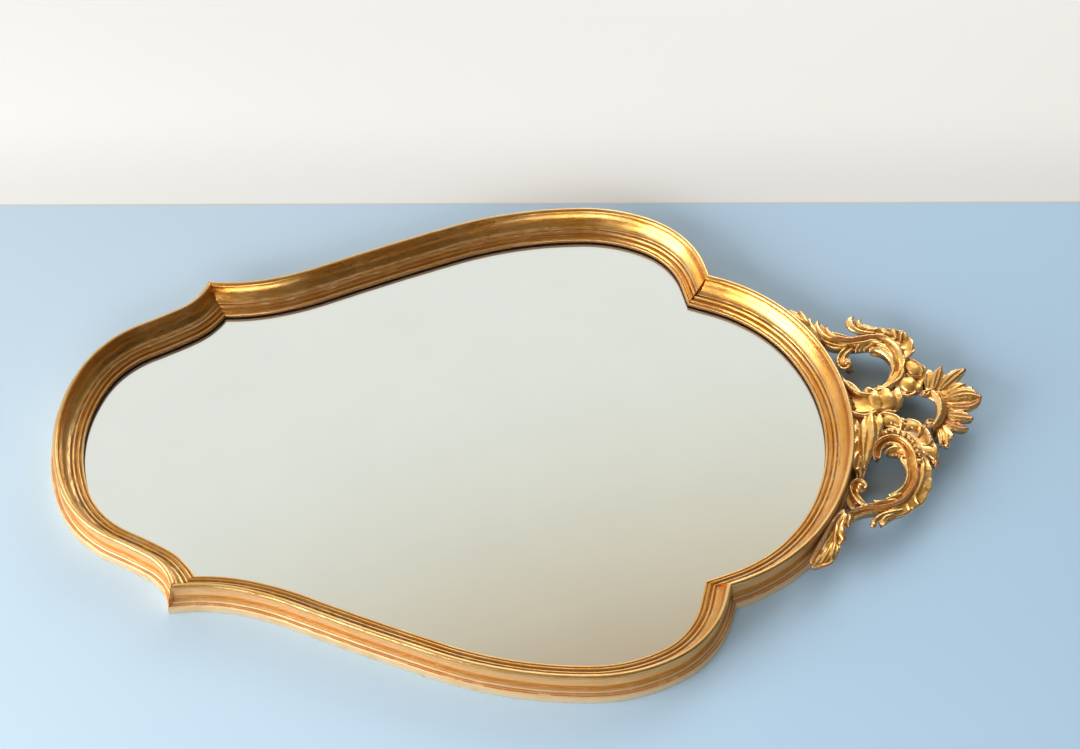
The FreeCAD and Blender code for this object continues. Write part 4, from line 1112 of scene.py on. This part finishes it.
RIGHT_SCROLL = [
    # bed under the ruffle and the outer leaf
    sheet((53, -15, 4, 26.5), (60, -11.5, 5.4, 28), (68, -11, 6, 28.6), (75.5, -15.5, 6.2, 28.8),
        (81.5, -23.5, 6.2, 28.8), (86, -32.5, 6, 28.4), (90, -41, 5.6, 27.5), (94, -48, 5, 27), cup=0.3,
        veins=1, amp=0.1, low=12, dust=0.5),
    roll((25.5, -77.5, 6.2, 28.4), low=15, k=0.5),
    # band
    gutter((48, -40, 3, 28), (49, -30, 5, 29), (55, -22, 5.6, 30), (64, -19.5, 6, 30.5), (73, -24, 6.4, 30.5),
        (78.5, -33, 6.8, 30.5), (80, -45, 6.8, 30.5), (80, -58, 6.4, 30.5), (77.5, -70, 6.4, 30),
        (71.5, -81, 6.2, 30), (63, -89.5, 5.6, 29.5), (53, -95, 4.6, 29), (42, -98.5, 3.4, 28.5),
        (30, -101, 2.6, 28), (20, -104, 2.4, 27.5), depth=2.8, rim=0.8, low=11),
    roll((44.5, -42.5, 2.3, 30), (44, -36, 1.7, 31), (45.5, -28.5, 1.5, 32), (49.5, -21.5, 1.5, 32.5),
        (56, -16.5, 1.5, 32.5), (64.5, -14.5, 1.5, 32.5), (73, -17, 1.5, 32.5), (79, -23, 1.5, 32.5),
        (83, -31, 1.5, 32.5), (85, -40, 1.4, 32), (85.5, -47, 1, 31)),
    roll((85.5, -53, 1.6, 31.5), (85, -62, 1.4, 32), (82, -72, 1.4, 32), (77.5, -80, 1.4, 32),
        (71.5, -88, 1.4, 32), (64, -94.5, 1.4, 31.5), (55, -98.5, 1.4, 31), (44, -100.3, 1.4, 30.5),
        (33, -101, 1.4, 30), (22, -103, 1.4, 29.5), (15, -106, 1.3, 29), (11, -110, 1, 28), red=0.9),
    # outer channel under the band, down to the frame
    gutter((90, -44, 4, 27), (90, -52, 4, 27), (88.5, -62, 4, 27), (84.5, -74, 4, 27.5), (78, -85.5, 4, 27.5),
        (68, -95.5, 4.4, 27), (56, -101.5, 4, 27), (43, -104, 3.4, 27), (31, -105.5, 3.2, 27),
        (22, -108.5, 3, 26.5), (17, -113, 2, 25.5), (16.2, -117.5, 0.8, 24.5), depth=1.6, low=10),
    # beaded ruffle
    roll((53, -12.5, 1, 29), (59, -9.5, 2, 30), (66, -8, 2.2, 30.5), (73.5, -10.5, 2.2, 30.5),
        (80, -15.5, 2.2, 30.5), (84.5, -22.5, 2.1, 30.5), (86.5, -30, 2, 30.5), (89, -38.5, 1.6, 30),
        scallop=(6.2, 1, 0)),
    ball(60, -9, 1.9, 31.3), ball(66.5, -7.5, 2.1, 31.6), ball(72.5, -10, 1.7, 31.5),
    ball(77.5, -13.5, 2.1, 31.7), ball(82, -18, 1.7, 31.4), ball(84.5, -23.5, 2.1, 31.7),
    ball(86, -29, 1.8, 31.5), ball(87.8, -34.5, 2, 31.5), ball(89.5, -39, 1.6, 31),
    # inner rim of the band
    ridge((68.5, -38.5, 1.4, 28), (71.5, -43, 3.2, 30.5), (74.5, -50, 3.2, 31), (75.5, -58, 2.8, 31),
        (74.5, -66, 2.6, 31), (71.5, -74, 2.6, 30.5), (66.5, -80, 2.5, 30), (60, -84.5, 2.3, 29.5),
        (54.5, -87, 1.4, 28.5), (53, -86, 0.6, 27.5), k=0.9, at=-0.2),
    roll((66, -86, 0.6, 29), (60, -88.5, 1.5, 29.5), (54, -90.5, 1.5, 29), (49, -91.5, 0.8, 27.5)),
    roll((60, -92.5, 0.8, 29), (52, -94.5, 1.5, 28.5), (45, -95, 1.5, 28), (40, -94.5, 1.2, 27.5),
        (36.5, -93, 0.6, 26.5)),
    # leaves turned over at the top of the opening
    roll((54.5, -38.5, 0.8, 27), (57, -34, 1.9, 29), (61.5, -30.5, 2.3, 30), (67, -29.5, 2.1, 30),
        (73, -33.5, 1.4, 29.5)),
    roll((53, -33, 0.8, 27), (56, -27.5, 1.4, 29), (62, -24, 1.5, 29.5), (69, -24.5, 1.4, 29.5),
        (75, -29, 0.8, 29)),
    petal((57, -38.5, 1.6, 23), (63, -36.5, 3.4, 25), (69, -36.5, 3.4, 26), (73, -40, 2, 27), cup=-0.6,
        veins=2, amp=0.3, low=14),
    ball(72, -41.5, 2.8, 31.5),
    # knob and outer leaf
    ball(88.5, -46, 3.6, 31.5), ball(85, -52.5, 1.9, 32),
    sheet((93, -46, 3, 28.5), (94, -54, 5.6, 29), (93, -64, 6.6, 28.6), (90, -75, 7.2, 28),
        (85, -86, 7.4, 27.5), (78, -95, 7, 27), (69, -102, 6.2, 27), (60, -107.5, 5.6, 27),
        (51, -112, 5.2, 27), (44.5, -116.5, 4.6, 27), (43, -120.5, 3, 27), cup=1.4, veins=1, amp=-0.3,
        tilt=-1.4, scallop=(19, 1.8, 1), low=13),
    roll((92.5, -47, 0.8, 30), (91.5, -55, 1.4, 30.5), (89.5, -65, 1.6, 30.5), (86, -75, 1.6, 30),
        (81.5, -84, 1.4, 29.5), (77, -91, 1, 28.5)),
    roll((79, -88.5, 0.8, 29), (80, -93, 1.5, 29), (82, -98.5, 1.2, 27)),
    roll((88, -75, 0.8, 28.5), (90.5, -80, 1.3, 28), (92.5, -82, 1, 27)),
    roll((70, -100, 0.8, 28), (72, -104, 1.3, 28), (74.5, -105.5, 0.9, 26.5)),
    # curled tips at the outer end
    roll((64, -105.5, 1, 28), (54, -107.5, 1.8, 29), (45.5, -110, 2.3, 29.5), (39, -114.5, 2.6, 29.5),
        (35, -119.5, 3, 29.5), (35, -123.5, 2.6, 29)),
    roll((56, -110.5, 1, 28), (49, -113, 1.8, 29), (44.5, -117, 2.1, 29), (44.5, -121.5, 1.9, 28.5)),
    ball(34.5, -122.5, 3.2, 30), ball(45.5, -122, 2, 29),
    # small volute by the frame
    gutter((30, -100, 2.4, 26), (24, -94, 4, 26), (20, -86, 4.2, 26), (21, -78, 4, 26), depth=1.8, low=11),
    roll((30, -100.5, 1, 28), (24.5, -96.5, 1.5, 28), (20, -91, 1.5, 28), (17, -84, 1.3, 28),
        (16.5, -77, 1.4, 28), (19, -71.5, 1.5, 28.5), (24, -68.5, 1.6, 29), (29.5, -70, 1.7, 29),
        (32.5, -74.5, 1.7, 29), (31, -79.5, 1.5, 29), (27, -80.5, 1.2, 29)),
    ball(26.5, -75.5, 4.2, 31.5),
    petal((16, -102, 3, 22), (15, -95, 5, 23), (16, -88, 3.5, 24), cup=1, veins=2, amp=0.3, low=8),
    # drop at the root
    ridge((16, -107, 2, 27), (12.5, -112, 3.4, 28), (10.5, -118, 3.2, 28), (9.5, -122.5, 2.2, 27),
        (9.5, -126, 0.7, 25.5), k=0.8),
]
CORE = [
    # pad behind the core, where the straps are screwed on
    sheet((30, 27, 5, 15), (34.5, 16, 16, 15), (34.5, -16, 16, 15), (30, -27, 5, 15), cup=0.1, veins=1, amp=0,
        low=2.3),
    # bed under everything
    sheet((20, 40, 17, 24), (29, 30, 15, 26), (38, 25, 12.6, 27.5), (47, 26, 10.6, 28.5),
        (56, 28.5, 11.6, 28.5), (66, 31, 12, 28), (73, 33, 9, 27), cup=1.4, veins=1, amp=0.1, low=6),
    sheet((29, 16, 8, 24), (33, 3, 11, 25.5), (34.5, -10, 13.6, 26.5), (33.5, -22, 13, 26.5),
        (32, -34, 10, 25.5), (30, -46, 7.5, 24.5), (28.5, -58, 5.5, 23), (26.5, -70, 3.6, 22), cup=0.8,
        veins=2, amp=0.4, low=6, dust=0.7),
    sheet((47, 10, 6, 27), (56, 6, 7.5, 27.5), (65, 3.5, 9, 28), (74, -1, 9, 28), (84, -8, 9.5, 27.5),
        (92, -17, 10, 27.5), (98, -28, 9, 27), (102, -39, 6.5, 26), (103.5, -48, 3.6, 25), cup=0.8, veins=1,
        amp=0.1, low=8, dust=0.6),
    # rims of the waisted leaf on the left
    roll((20.5, 63, 1.2, 31), (24.5, 53.5, 1.9, 31.5), (29.5, 45.5, 2.1, 31.5), (36, 40.5, 2, 31.5),
        (43, 38.5, 2, 31.5), (49, 38.5, 1.4, 31)),
    roll((20, 62, 0.9, 33), (20.5, 55, 1.6, 34), (21.5, 48, 1.8, 34), (24, 41, 1.6, 34), (27, 36, 0.8, 31)),
    roll((22.5, 35, 1.2, 33), (25, 32, 2.4, 34), (29, 28.5, 1.3, 31), dust=0.5),
    roll((23, 27, 1.2, 32.5), (25.5, 23.5, 2.3, 33.5), (30, 21.5, 1.3, 30.5), dust=0.4),
    roll((23.5, 19, 1.4, 32), (27, 15.5, 2.4, 32.5), (33, 12.5, 2.2, 31.5), (39, 11.5, 1.8, 30.5),
        (45, 13, 1.5, 30.5), (51, 15.5, 1.3, 30.5), (55, 16.5, 0.8, 30)),
    # bulges
    roll((54.5, 18, 3.6, 29.2), (53.5, 27, 6, 30.6), (53, 35, 6.4, 31.6), (53, 40, 4.4, 30.6), k=0.42, low=8,
        blend=2),
    roll((63.5, 18, 4.6, 28.8), (66, 26, 7.4, 30.8), (66, 35, 7.8, 32.2), (64.5, 42, 5.4, 30.8), k=0.42,
        low=8, blend=2),
    roll((70, 17, 3, 27), (74, 26, 5.4, 28.8), (76, 35, 5.6, 29.8), (76.5, 43, 4, 28.8), k=0.4, low=8,
        blend=2),
    dig((53, 15, 1.4, 29), (56, 15.8, 1.7, 29), (58.5, 16.5, 1, 29), depth=3.4),
    roll((58.5, 15, 1, 28.5), (64, 15.8, 1.4, 29), (69, 15.2, 1.3, 28.5), (72.5, 15, 0.9, 28), dust=0.8),
    # the large leaf by the rail
    sheet((29, 4, 3, 28), (28.5, -6, 5, 29.4), (27.5, -18, 5.6, 29.8), (26.5, -30, 5.4, 29.4),
        (25.5, -42, 4.6, 28.6), (24.5, -54, 3.2, 27), cup=0.5, veins=2, amp=0.5, low=6),
    sheet((47, 13, 3, 29.4), (44.5, 5, 7.6, 31), (42.5, -6, 10, 31.4), (40.5, -17, 10.2, 31.2),
        (38, -28, 8.8, 30.6), (35.5, -38, 7, 29.8), (34, -46, 5, 28.8), (33.5, -52, 2.4, 27.4), cup=-0.8,
        veins=3, amp=0.9, low=6, scallop=(9, 0.8, 1)),
    ridge((46, 11, 2.2, 32), (45.5, 4, 4.6, 33.8), (45.5, -5, 5.2, 34.2), (45, -14, 4.4, 33.8),
        (43.5, -23, 3, 33), (41.5, -32, 1.8, 31.6), (40, -40, 1, 30), k=0.42, at=0.15, blend=1.5),
    roll((38.5, 6, 1.2, 31), (36.5, -3, 2, 32.2), (35.5, -13, 2.2, 32.2), (34.5, -24, 1.8, 31.6),
        (33.5, -34, 1.2, 30.4), blend=1.2),
    roll((40, -20, 1, 31.4), (39, -30, 1.7, 31.4), (38, -40, 1.8, 30.6), (37.5, -48, 1, 29), blend=1),
    roll((35.5, -30, 1, 30.4), (34.5, -39, 1.5, 30.2), (33.5, -47, 1.5, 29.2), (33, -53, 0.8, 27.6), blend=1),
    dig((33.5, -2, 0.6, 30), (32, -14, 1.1, 30), (31, -27, 1.1, 30), (30, -40, 0.7, 29), depth=2.2),
    roll((28.5, 6, 1.2, 30), (25.5, 0, 2, 31.5), (25, -6, 1.4, 31), dust=0.8),
    roll((30.5, -6, 1.2, 30), (26, -11, 2.4, 32.5), (24, -17, 2.2, 33), (24.5, -23, 1.2, 31.5), dust=0.8),
    roll((30, -18, 1.2, 29.5), (25.5, -25, 2.2, 32), (23.5, -32, 2, 32), (24, -38, 1.2, 30.5)),
    roll((29.5, -34, 1.2, 29), (24.5, -41, 2.1, 31), (22, -48, 2, 31), (22.5, -54, 1.2, 29.5), dust=0.7),
    roll((29, -46, 1.8, 27), (28.5, -56, 2.2, 26), (27.5, -66, 1.6, 25), dust=0.5),
    # lobes over the right scroll
    sheet((54.5, 11, 2.6, 29), (54, 4, 4.8, 31), (52, -5, 4.6, 31), (50, -14, 3.4, 30), (47, -23, 2, 29),
        cup=-1.6, veins=1, amp=0.2, low=8),
    sheet((60, 2, 4, 29), (64, 6, 6.2, 30.5), (69, 5, 5.6, 30.5), (73, 1, 4, 30), cup=-1.4, veins=1, amp=0.2,
        low=8),
    roll((55, 12.5, 1.4, 30), (60, 13.5, 1.9, 31), (66, 12.5, 2.2, 31.5), (71, 10, 2.2, 31.5),
        (75, 5, 2.4, 31.8), (77, 0, 2.9, 32.2), (75, -4.5, 1.6, 30.5)),
    dig((76.5, 4.5, 0.7, 29), (77.5, -2, 1, 29), (76.5, -8, 0.8, 28.5), depth=2),
    sheet((80, -5, 3.6, 28.5), (85, -1, 5, 30), (90.5, -3, 4.4, 30), cup=-1.6, veins=1, amp=0.2, low=10),
    roll((77.5, 3.5, 1, 29), (83, 5, 1.5, 30.2), (88.5, 4, 1.9, 30.8), (93, 1, 2.4, 31.2),
        (95.7, -4.5, 3, 32), (94, -10, 1.8, 30.5), (91, -14, 0.8, 29)),
    dig((96.5, -2, 0.8, 29), (95.5, -11, 1, 28.5), (91, -18, 0.8, 28), depth=2.2),
    roll((98.5, -3.5, 1.2, 29.5), (100.5, -9, 2.2, 31), (102.2, -15.5, 2.5, 31.5), (103, -22, 2.6, 31.5),
        (100, -26, 1.8, 30.5), (96, -28, 0.8, 29.5)),
    sheet((91, -25, 3, 28.5), (96, -31, 5.6, 30), (101, -36, 5.4, 30), (104, -43, 3, 28.5), cup=-1.6, veins=1,
        amp=0.2, low=10),
    roll((104.5, -23, 1.2, 29.5), (106, -29, 2.3, 31), (107, -34.5, 2.4, 30.8), (106, -40, 1.6, 29.5)),
    dig((104.5, -25, 0.8, 29.5), (99, -28.5, 1, 29), (94, -29, 0.7, 29), depth=1.8),
    roll((105, -40, 1.4, 28), (106, -45.5, 2.5, 28), (105, -50.5, 2.4, 27), (102.5, -54.5, 1.2, 25), red=0.5),
]
FAN = [
    # bed of the shell
    petal((110, 52, 7, 24), (119, 46, 8.5, 25), (127, 34, 9, 25.5), (130, 20, 9, 25.5), (126, 6, 9, 25),
        (119, -6, 8, 25), (114, -13, 5, 25), cup=1, veins=1, amp=0.1, low=16),
    sheet((124, 38, 7, 26), (134, 37, 9, 27.5), (144, 36, 8, 28.5), (154, 33.5, 4.6, 29),
        (160, 32.5, 1.4, 29), cup=0.6, veins=3, amp=0.5, low=16),
    sheet((124, 22, 7, 26), (134, 22, 7.6, 27), (144, 23.5, 7, 28), (154, 27.5, 4, 28.5), cup=0.6, veins=3,
        amp=0.5, low=16),
    sheet((122, 50, 8, 26), (130, 54, 8, 27.5), (138, 59, 5, 28.5), cup=0.6, veins=3, amp=0.5, low=16),
    # lobes
    petal((108, 45, 3.4, 25), (110, 54, 5, 27.5), (111.5, 62, 4.6, 28.5), (112, 67.5, 2.4, 28.5), cup=0.6,
        veins=2, amp=0.5, low=15),
    petal((114, 45, 3.4, 26), (117.5, 55, 6, 28.5), (120.5, 64, 5.4, 30), (123, 70, 3.2, 30.5),
        (124.5, 74.5, 1, 30.5), cup=-0.8, veins=3, amp=0.55, low=16, red=0.3),
    petal((119, 50, 2.4, 26.5), (122.5, 58, 3.8, 28.5), (125, 64, 2.2, 29), (126, 66, 0.8, 29), cup=-0.6,
        veins=2, amp=0.5, low=16),
    petal((120, 43, 3, 26), (127, 51, 6.4, 29), (135, 59, 7.2, 30.5), (142, 65, 5.8, 31),
        (147.5, 69, 2.6, 31), cup=-0.9, veins=3, amp=0.7, low=17, scallop=(6.5, 0.8, 0), red=0.35),
    petal((129, 55, 2, 28), (132.5, 61.5, 3, 30), (134.5, 65.5, 0.9, 30), cup=-0.5, veins=1, amp=0.3, low=18),
    petal((126, 38, 2.6, 26.5), (134, 43, 5, 29), (142, 48, 4.4, 30), (146, 50, 1.6, 30), cup=-0.8, veins=2,
        amp=0.5, low=17),
    petal((127, 33, 3, 27), (136, 36.5, 6.4, 30), (145, 38.5, 7.2, 31), (153, 37, 6, 31),
        (159, 34, 2.8, 30.5), (161.5, 32.5, 1, 30.5), cup=-1.2, veins=3, amp=0.7, low=17, scallop=(7, 0.8, 0),
        red=0.2),
    petal((143, 42, 2, 28), (150, 44, 3.2, 29.5), (153.5, 45.5, 1, 29.5), cup=-0.5, veins=1, amp=0.3, low=18),
    petal((128, 22, 3, 26.5), (137, 21.5, 5.6, 28), (146, 22, 6, 28.5), (154, 25.5, 4.6, 29),
        (159, 30, 2, 29.5), cup=-0.8, veins=3, amp=0.6, low=16, red=0.6),
    roll((128, 17.5, 1.4, 28), (132, 14.5, 1.4, 28), (137, 12.5, 0.8, 27)),
    petal((122, 11, 3.4, 26), (131, 10, 7.2, 28.5), (140, 8.5, 6.4, 29), (147, 6, 2.8, 29), cup=-0.8, veins=3,
        amp=0.6, low=16, scallop=(6, 0.8, 0), red=0.4),
    petal((120, 2, 3.4, 25.5), (127, -2, 5.6, 27.5), (134, -5, 5, 28), (141, -6.5, 2.4, 28), cup=-0.8,
        veins=3, amp=0.6, low=15, scallop=(6, 0.8, 0), red=0.6),
    petal((112, -7, 2.6, 25.5), (113.5, -15, 3.8, 27), (113, -22, 2.8, 27.5), (112, -27, 1.6, 27), cup=-0.6,
        veins=2, amp=0.5, low=15),
    petal((116, -9, 2.6, 25.5), (119, -15, 4, 27), (119, -22, 3.2, 27.5), (118.5, -28, 2.4, 27), cup=-0.6,
        veins=2, amp=0.5, low=15),
    petal((118, -5, 2.4, 26), (122, -12, 3.4, 27.5), (125.5, -16.5, 1.6, 28), cup=-0.5, veins=1, amp=0.3,
        low=15),
    ball(112.5, -26.5, 2.2, 29), ball(118.5, -26.8, 3, 29.5), ball(124.5, -16.5, 2, 29),
    # crescent round the small opening
    ridge((109, 43, 1.6, 31), (112.5, 41.5, 4, 33), (116.5, 36.5, 5.4, 34), (119, 29, 5.8, 34.5),
        (119, 20, 5.8, 34.5), (116.5, 11, 5, 34), (112, 3, 3.8, 33), (107.5, -2.5, 2.2, 32), k=0.75,
        at=-0.15),
    roll((106, 33.5, 1.2, 29), (110, 32, 1.8, 30), (113, 28, 1.6, 30.5), (114, 20, 1.2, 30.5)),
    roll((111.5, 43.5, 1.3, 33), (107, 42.5, 1.6, 33), (102, 40, 1.6, 32.5), (99.5, 37.5, 1.4, 32),
        (102, 35.5, 1.4, 32), (106.5, 37, 1.6, 32.5), (108.5, 40, 1.3, 32.5)),
    roll((104, 38.5, 4, 30)),
    ball(103.5, 38.5, 1.8, 33),
    roll((111, 0, 1.2, 32), (107, -3.5, 1.7, 32), (103, -3, 1.8, 32), (101, 0.5, 1.8, 32),
        (103, 4.5, 1.7, 32), (107, 5, 1.4, 32)),
    ball(105.3, 0.5, 2.8, 33),
    # under the shell, towards the left scroll
    sheet((103, 44, 5, 21), (103.5, 55, 5.6, 21), (105, 66, 5, 21), (106, 73, 2.6, 20), cup=0.8, veins=1,
        amp=0.1, low=12, dust=0.4),
    petal((102, 44, 3, 21), (103, 54, 4.6, 21), (105, 64, 4.4, 20), (107, 70, 2, 19), cup=0.8, veins=1,
        amp=0.1, low=12),
    petal((107, -5, 2.6, 21), (108, -13, 3.4, 20), (108.5, -22, 2.2, 19), cup=0.8, veins=1, amp=0.1, low=12),
]
LEFT_LEAF = [
    sheet((-25, 148, 3.4, 25), (-18, 140, 6.6, 26), (-10, 131, 7, 26), (-2, 121, 6, 26), (5, 112, 4.6, 25.5),
        cup=0.8, veins=3, amp=0.5, low=14, dust=0.3),
    petal((-25.5, 149, 1.6, 26), (-21, 143, 4.2, 28), (-15, 137, 5, 29), (-8, 130, 4.6, 28), (-2, 122, 4, 27),
        (5, 112, 3.4, 26), cup=-0.8, veins=2, amp=0.5, low=7),
    roll((-15, 150.5, 1.2, 28), (-12.5, 145.5, 2.4, 30), (-10.5, 139, 2.8, 30.5), (-8, 133, 2, 30),
        (-5, 127, 1, 28)),
    roll((-5, 140.5, 1, 26), (-5.5, 135, 2.2, 27.5), (-3.5, 128, 2.6, 28), (0, 120, 2.2, 28),
        (4, 113, 1.2, 27)),
    roll((-24, 147.5, 1, 28.5), (-19, 142, 1.6, 30), (-14, 137, 1.2, 30)),
]
RIGHT_LEAF = [
    # dusty back of the leaf, down to the rail
    sheet((6, -107, 3, 21), (-1, -118, 5, 22), (-7, -130, 6, 22.5), (-13, -142, 6.6, 22.5),
        (-20, -154, 6.4, 22.5), (-28, -164, 4, 22), cup=0.6, veins=2, amp=0.3, low=10, dust=1),
    sheet((8, -111, 3, 25), (3.5, -120, 4.6, 26), (0, -130, 6, 26.4), (-4, -140, 7, 26.4),
        (-9, -150, 8.4, 26.2), (-15, -160, 7.4, 26), (-23, -167, 4.4, 25.4), (-30, -170, 1.4, 24.6), cup=0.6,
        veins=2, amp=0.5, low=14, scallop=(12, 1.8, 1)),
    # lobes along its outer edge
    roll((13.5, -110, 1, 27), (12, -115, 2.2, 28.4), (11, -120, 2.4, 28.6), (10.5, -124.5, 1.4, 27.4),
        red=0.4),
    roll((5.5, -117, 1.2, 27.6), (3, -124, 3, 29.6), (3, -131, 3.8, 30.2), (4.5, -137.5, 2.8, 28.8),
        (5, -141, 1.2, 27), k=0.75),
    roll((-1, -120, 1, 27.4), (-3, -130, 1.8, 28.8), (-4.5, -140, 1.8, 28.8), (-3, -146, 1.2, 27.6)),
    sheet((-4, -141, 2, 27), (-6.5, -149, 4.8, 28.6), (-8.5, -157, 4.6, 28.6), (-10, -162.5, 2.2, 27.2),
        cup=-1, veins=2, amp=0.6, low=14, scallop=(5.4, 1, 1)),
    sheet((-9, -146, 1.8, 27), (-13, -154, 4.2, 28.6), (-16.5, -161, 4.4, 28.4), (-20, -166.5, 2.6, 27.2),
        (-22.5, -169, 1, 26), cup=-1, veins=2, amp=0.6, low=14),
    sheet((-15, -152, 1.6, 26.6), (-20, -160, 3.4, 27.8), (-25, -166.5, 2.8, 27.2), (-30.5, -171, 0.8, 25.6),
        cup=-0.8, veins=2, amp=0.5, low=14),
    roll((-6, -160, 0.8, 26.6), (-10, -165.5, 1.4, 27.6), (-16, -169, 1.6, 27.6), (-22, -170.5, 1.4, 27.2),
        (-28, -171.5, 0.8, 25.8), red=0.5),
]
CREST = {"crest_left_scroll": LEFT_SCROLL, "crest_right_scroll": RIGHT_SCROLL, "crest_core": CORE,
         "crest_fan": FAN, "crest_left_leaf": LEFT_LEAF, "crest_right_leaf": RIGHT_LEAF}
FIRST_SEED = 11

carving_gold = carved_gold()
guard = edge_guard()
for seed, (node, strokes) in enumerate(CREST.items(), FIRST_SEED):
    piece = carve(node.replace("crest", "carved"), strokes, guard, seed)
    piece.data.materials.append(carving_gold)
    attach(piece, "frame")
    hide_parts(node)


# Table and the paper behind it
TABLE_SIZE = 9.0
TABLE_DROP = 0.0002                 # under the frame's back, so that the two don't flicker
EDGE_SLOPE, EDGE_Y = -0.00849, 0.33345        # far edge of the table, in m


def table_material():
    """Blue table with a straight far edge, and the white paper behind it."""
    n = Material("table_top")
    x, y, _ = n.split(n.position)
    behind = y - (x * EDGE_SLOPE + EDGE_Y)
    # painted light: the blue is greyer to the left, a painted sheen, and bluer to the right, painted bluish
    # light
    blue = n.mix(x.ramp(-0.6, 0.6, 1.0, 0.0), (0.455, 0.665, 0.89, 1), (0.515, 0.665, 0.80, 1))
    blue = blue.mix(n.noise(3.0, 3, 0.5).ramp(0.3, 0.7, 0.0, 0.05), (0.56, 0.70, 0.84, 1))
    # painted shade: the paper is greyer near the table's edge, whiter further back
    white = n.mix(behind.ramp(0.0, 0.16), (0.83, 0.835, 0.83, 1), (0.97, 0.97, 0.965, 1))
    colour = n.mix(behind.ramp(-0.0009, 0.0009), blue, white)
    # painted shadow: a thin dark line along the table's far edge
    colour = colour.mix(behind.band(0.0012, 0.0006, 0.0016) * 0.35, rgb(120, 130, 140))
    return n.surface(colour, 0.55, (n.noise(900.0, 2, 0.5), 0.05, 0.0002))


bpy.ops.mesh.primitive_plane_add(size=TABLE_SIZE, location=(0, 0, -TABLE_DROP))
table = bpy.context.object
table.name = "table_top"
table.data.materials.append(table_material())

# Room: a ceiling that darkens and warms overhead, dim on the camera's side and to the right
CEILING = ((0.0, (0.84, 0.83, 0.80)), (0.5, (0.86, 0.86, 0.82)), (0.75, (0.81, 0.83, 0.78)),
           (0.774, (0.80, 0.82, 0.77)), (0.789, (0.785, 0.805, 0.75)), (0.805, (0.755, 0.77, 0.70)),
           (0.82, (0.715, 0.72, 0.633)), (0.835, (0.672, 0.652, 0.547)), (0.851, (0.615, 0.565, 0.443)),
           (0.866, (0.53, 0.445, 0.325)), (0.90, (0.42, 0.34, 0.25)), (1.0, (0.26, 0.23, 0.20)))
NEAR_SIDE = (0.22, 0.17, 0.12, 1)
room = bpy.data.worlds.new("room")
bpy.context.scene.world = room
n = Graph(room)
x, y, z = n.split(n.coordinates("Generated"))
ceiling = n.node("ShaderNodeValToRGB", {0: x * 0.14 + z})
stops = ceiling.socket.node.color_ramp.elements
for k, (place, colour) in enumerate(CEILING):
    stop = stops[k] if k < 2 else stops.new(place)
    stop.position, stop.color = place, (*colour, 1)
colour = n.mix(y.ramp(-0.45, 0.25), NEAR_SIDE, ceiling)
strength = x.ramp(0.12, 0.62, 1.0, 0.17)
n.close(n.node("ShaderNodeBackground", {0: colour, 1: strength}), "ShaderNodeOutputWorld")


def area_light(name, place, target, size, watts):
    data = bpy.data.lights.new(name, "AREA")
    data.shape = "RECTANGLE"
    data.size, data.size_y = size
    data.energy = watts
    lamp = new_object(name, data)
    lamp.location = place
    lamp.rotation_euler = (Vector(target) - Vector(place)).to_track_quat("-Z", "Y").to_euler()
    return lamp


area_light("window", (-2.25, -1.1, 0.95), (0, 0, 0), (2.5, 1.4), 81)
area_light("front_lamp", (-0.3, -2.3, 1.2), (0, 0, 0), (1.6, 0.9), 28).visible_glossy = False
area_light("far_lamp", (1.0, 2.4, 1.5), (0.5, 1.2, 0), (1.8, 1.0), 22)

# Camera, fitted to the photo
PHOTO_WIDTH, FOCAL = 1080, 2070.59            # pixels
PITCH, ROLL, YAW = 0.904377, 0.013544, -0.006133
SENSOR = 36.0
data = bpy.data.cameras.new("camera")
data.sensor_width = SENSOR
data.lens = FOCAL / PHOTO_WIDTH * SENSOR
data.clip_end = 50
camera = new_object("camera", data)
side = Vector((math.cos(YAW), -math.sin(YAW), 0))
ahead = Vector((math.sin(YAW), math.cos(YAW), 0))
view = ahead * math.cos(PITCH) - Vector((0, 0, math.sin(PITCH)))
up = ahead * math.sin(PITCH) + Vector((0, 0, math.cos(PITCH)))
x_axis = side * math.cos(ROLL) - up * math.sin(ROLL)
y_axis = side * math.sin(ROLL) + up * math.cos(ROLL)
turn = Matrix((x_axis, y_axis, -view)).transposed().to_4x4()
camera.matrix_world = Matrix.Translation(Vector(EYE) * MM) @ turn
bpy.context.scene.camera = camera
bpy.context.scene.view_settings.view_transform = "Standard"
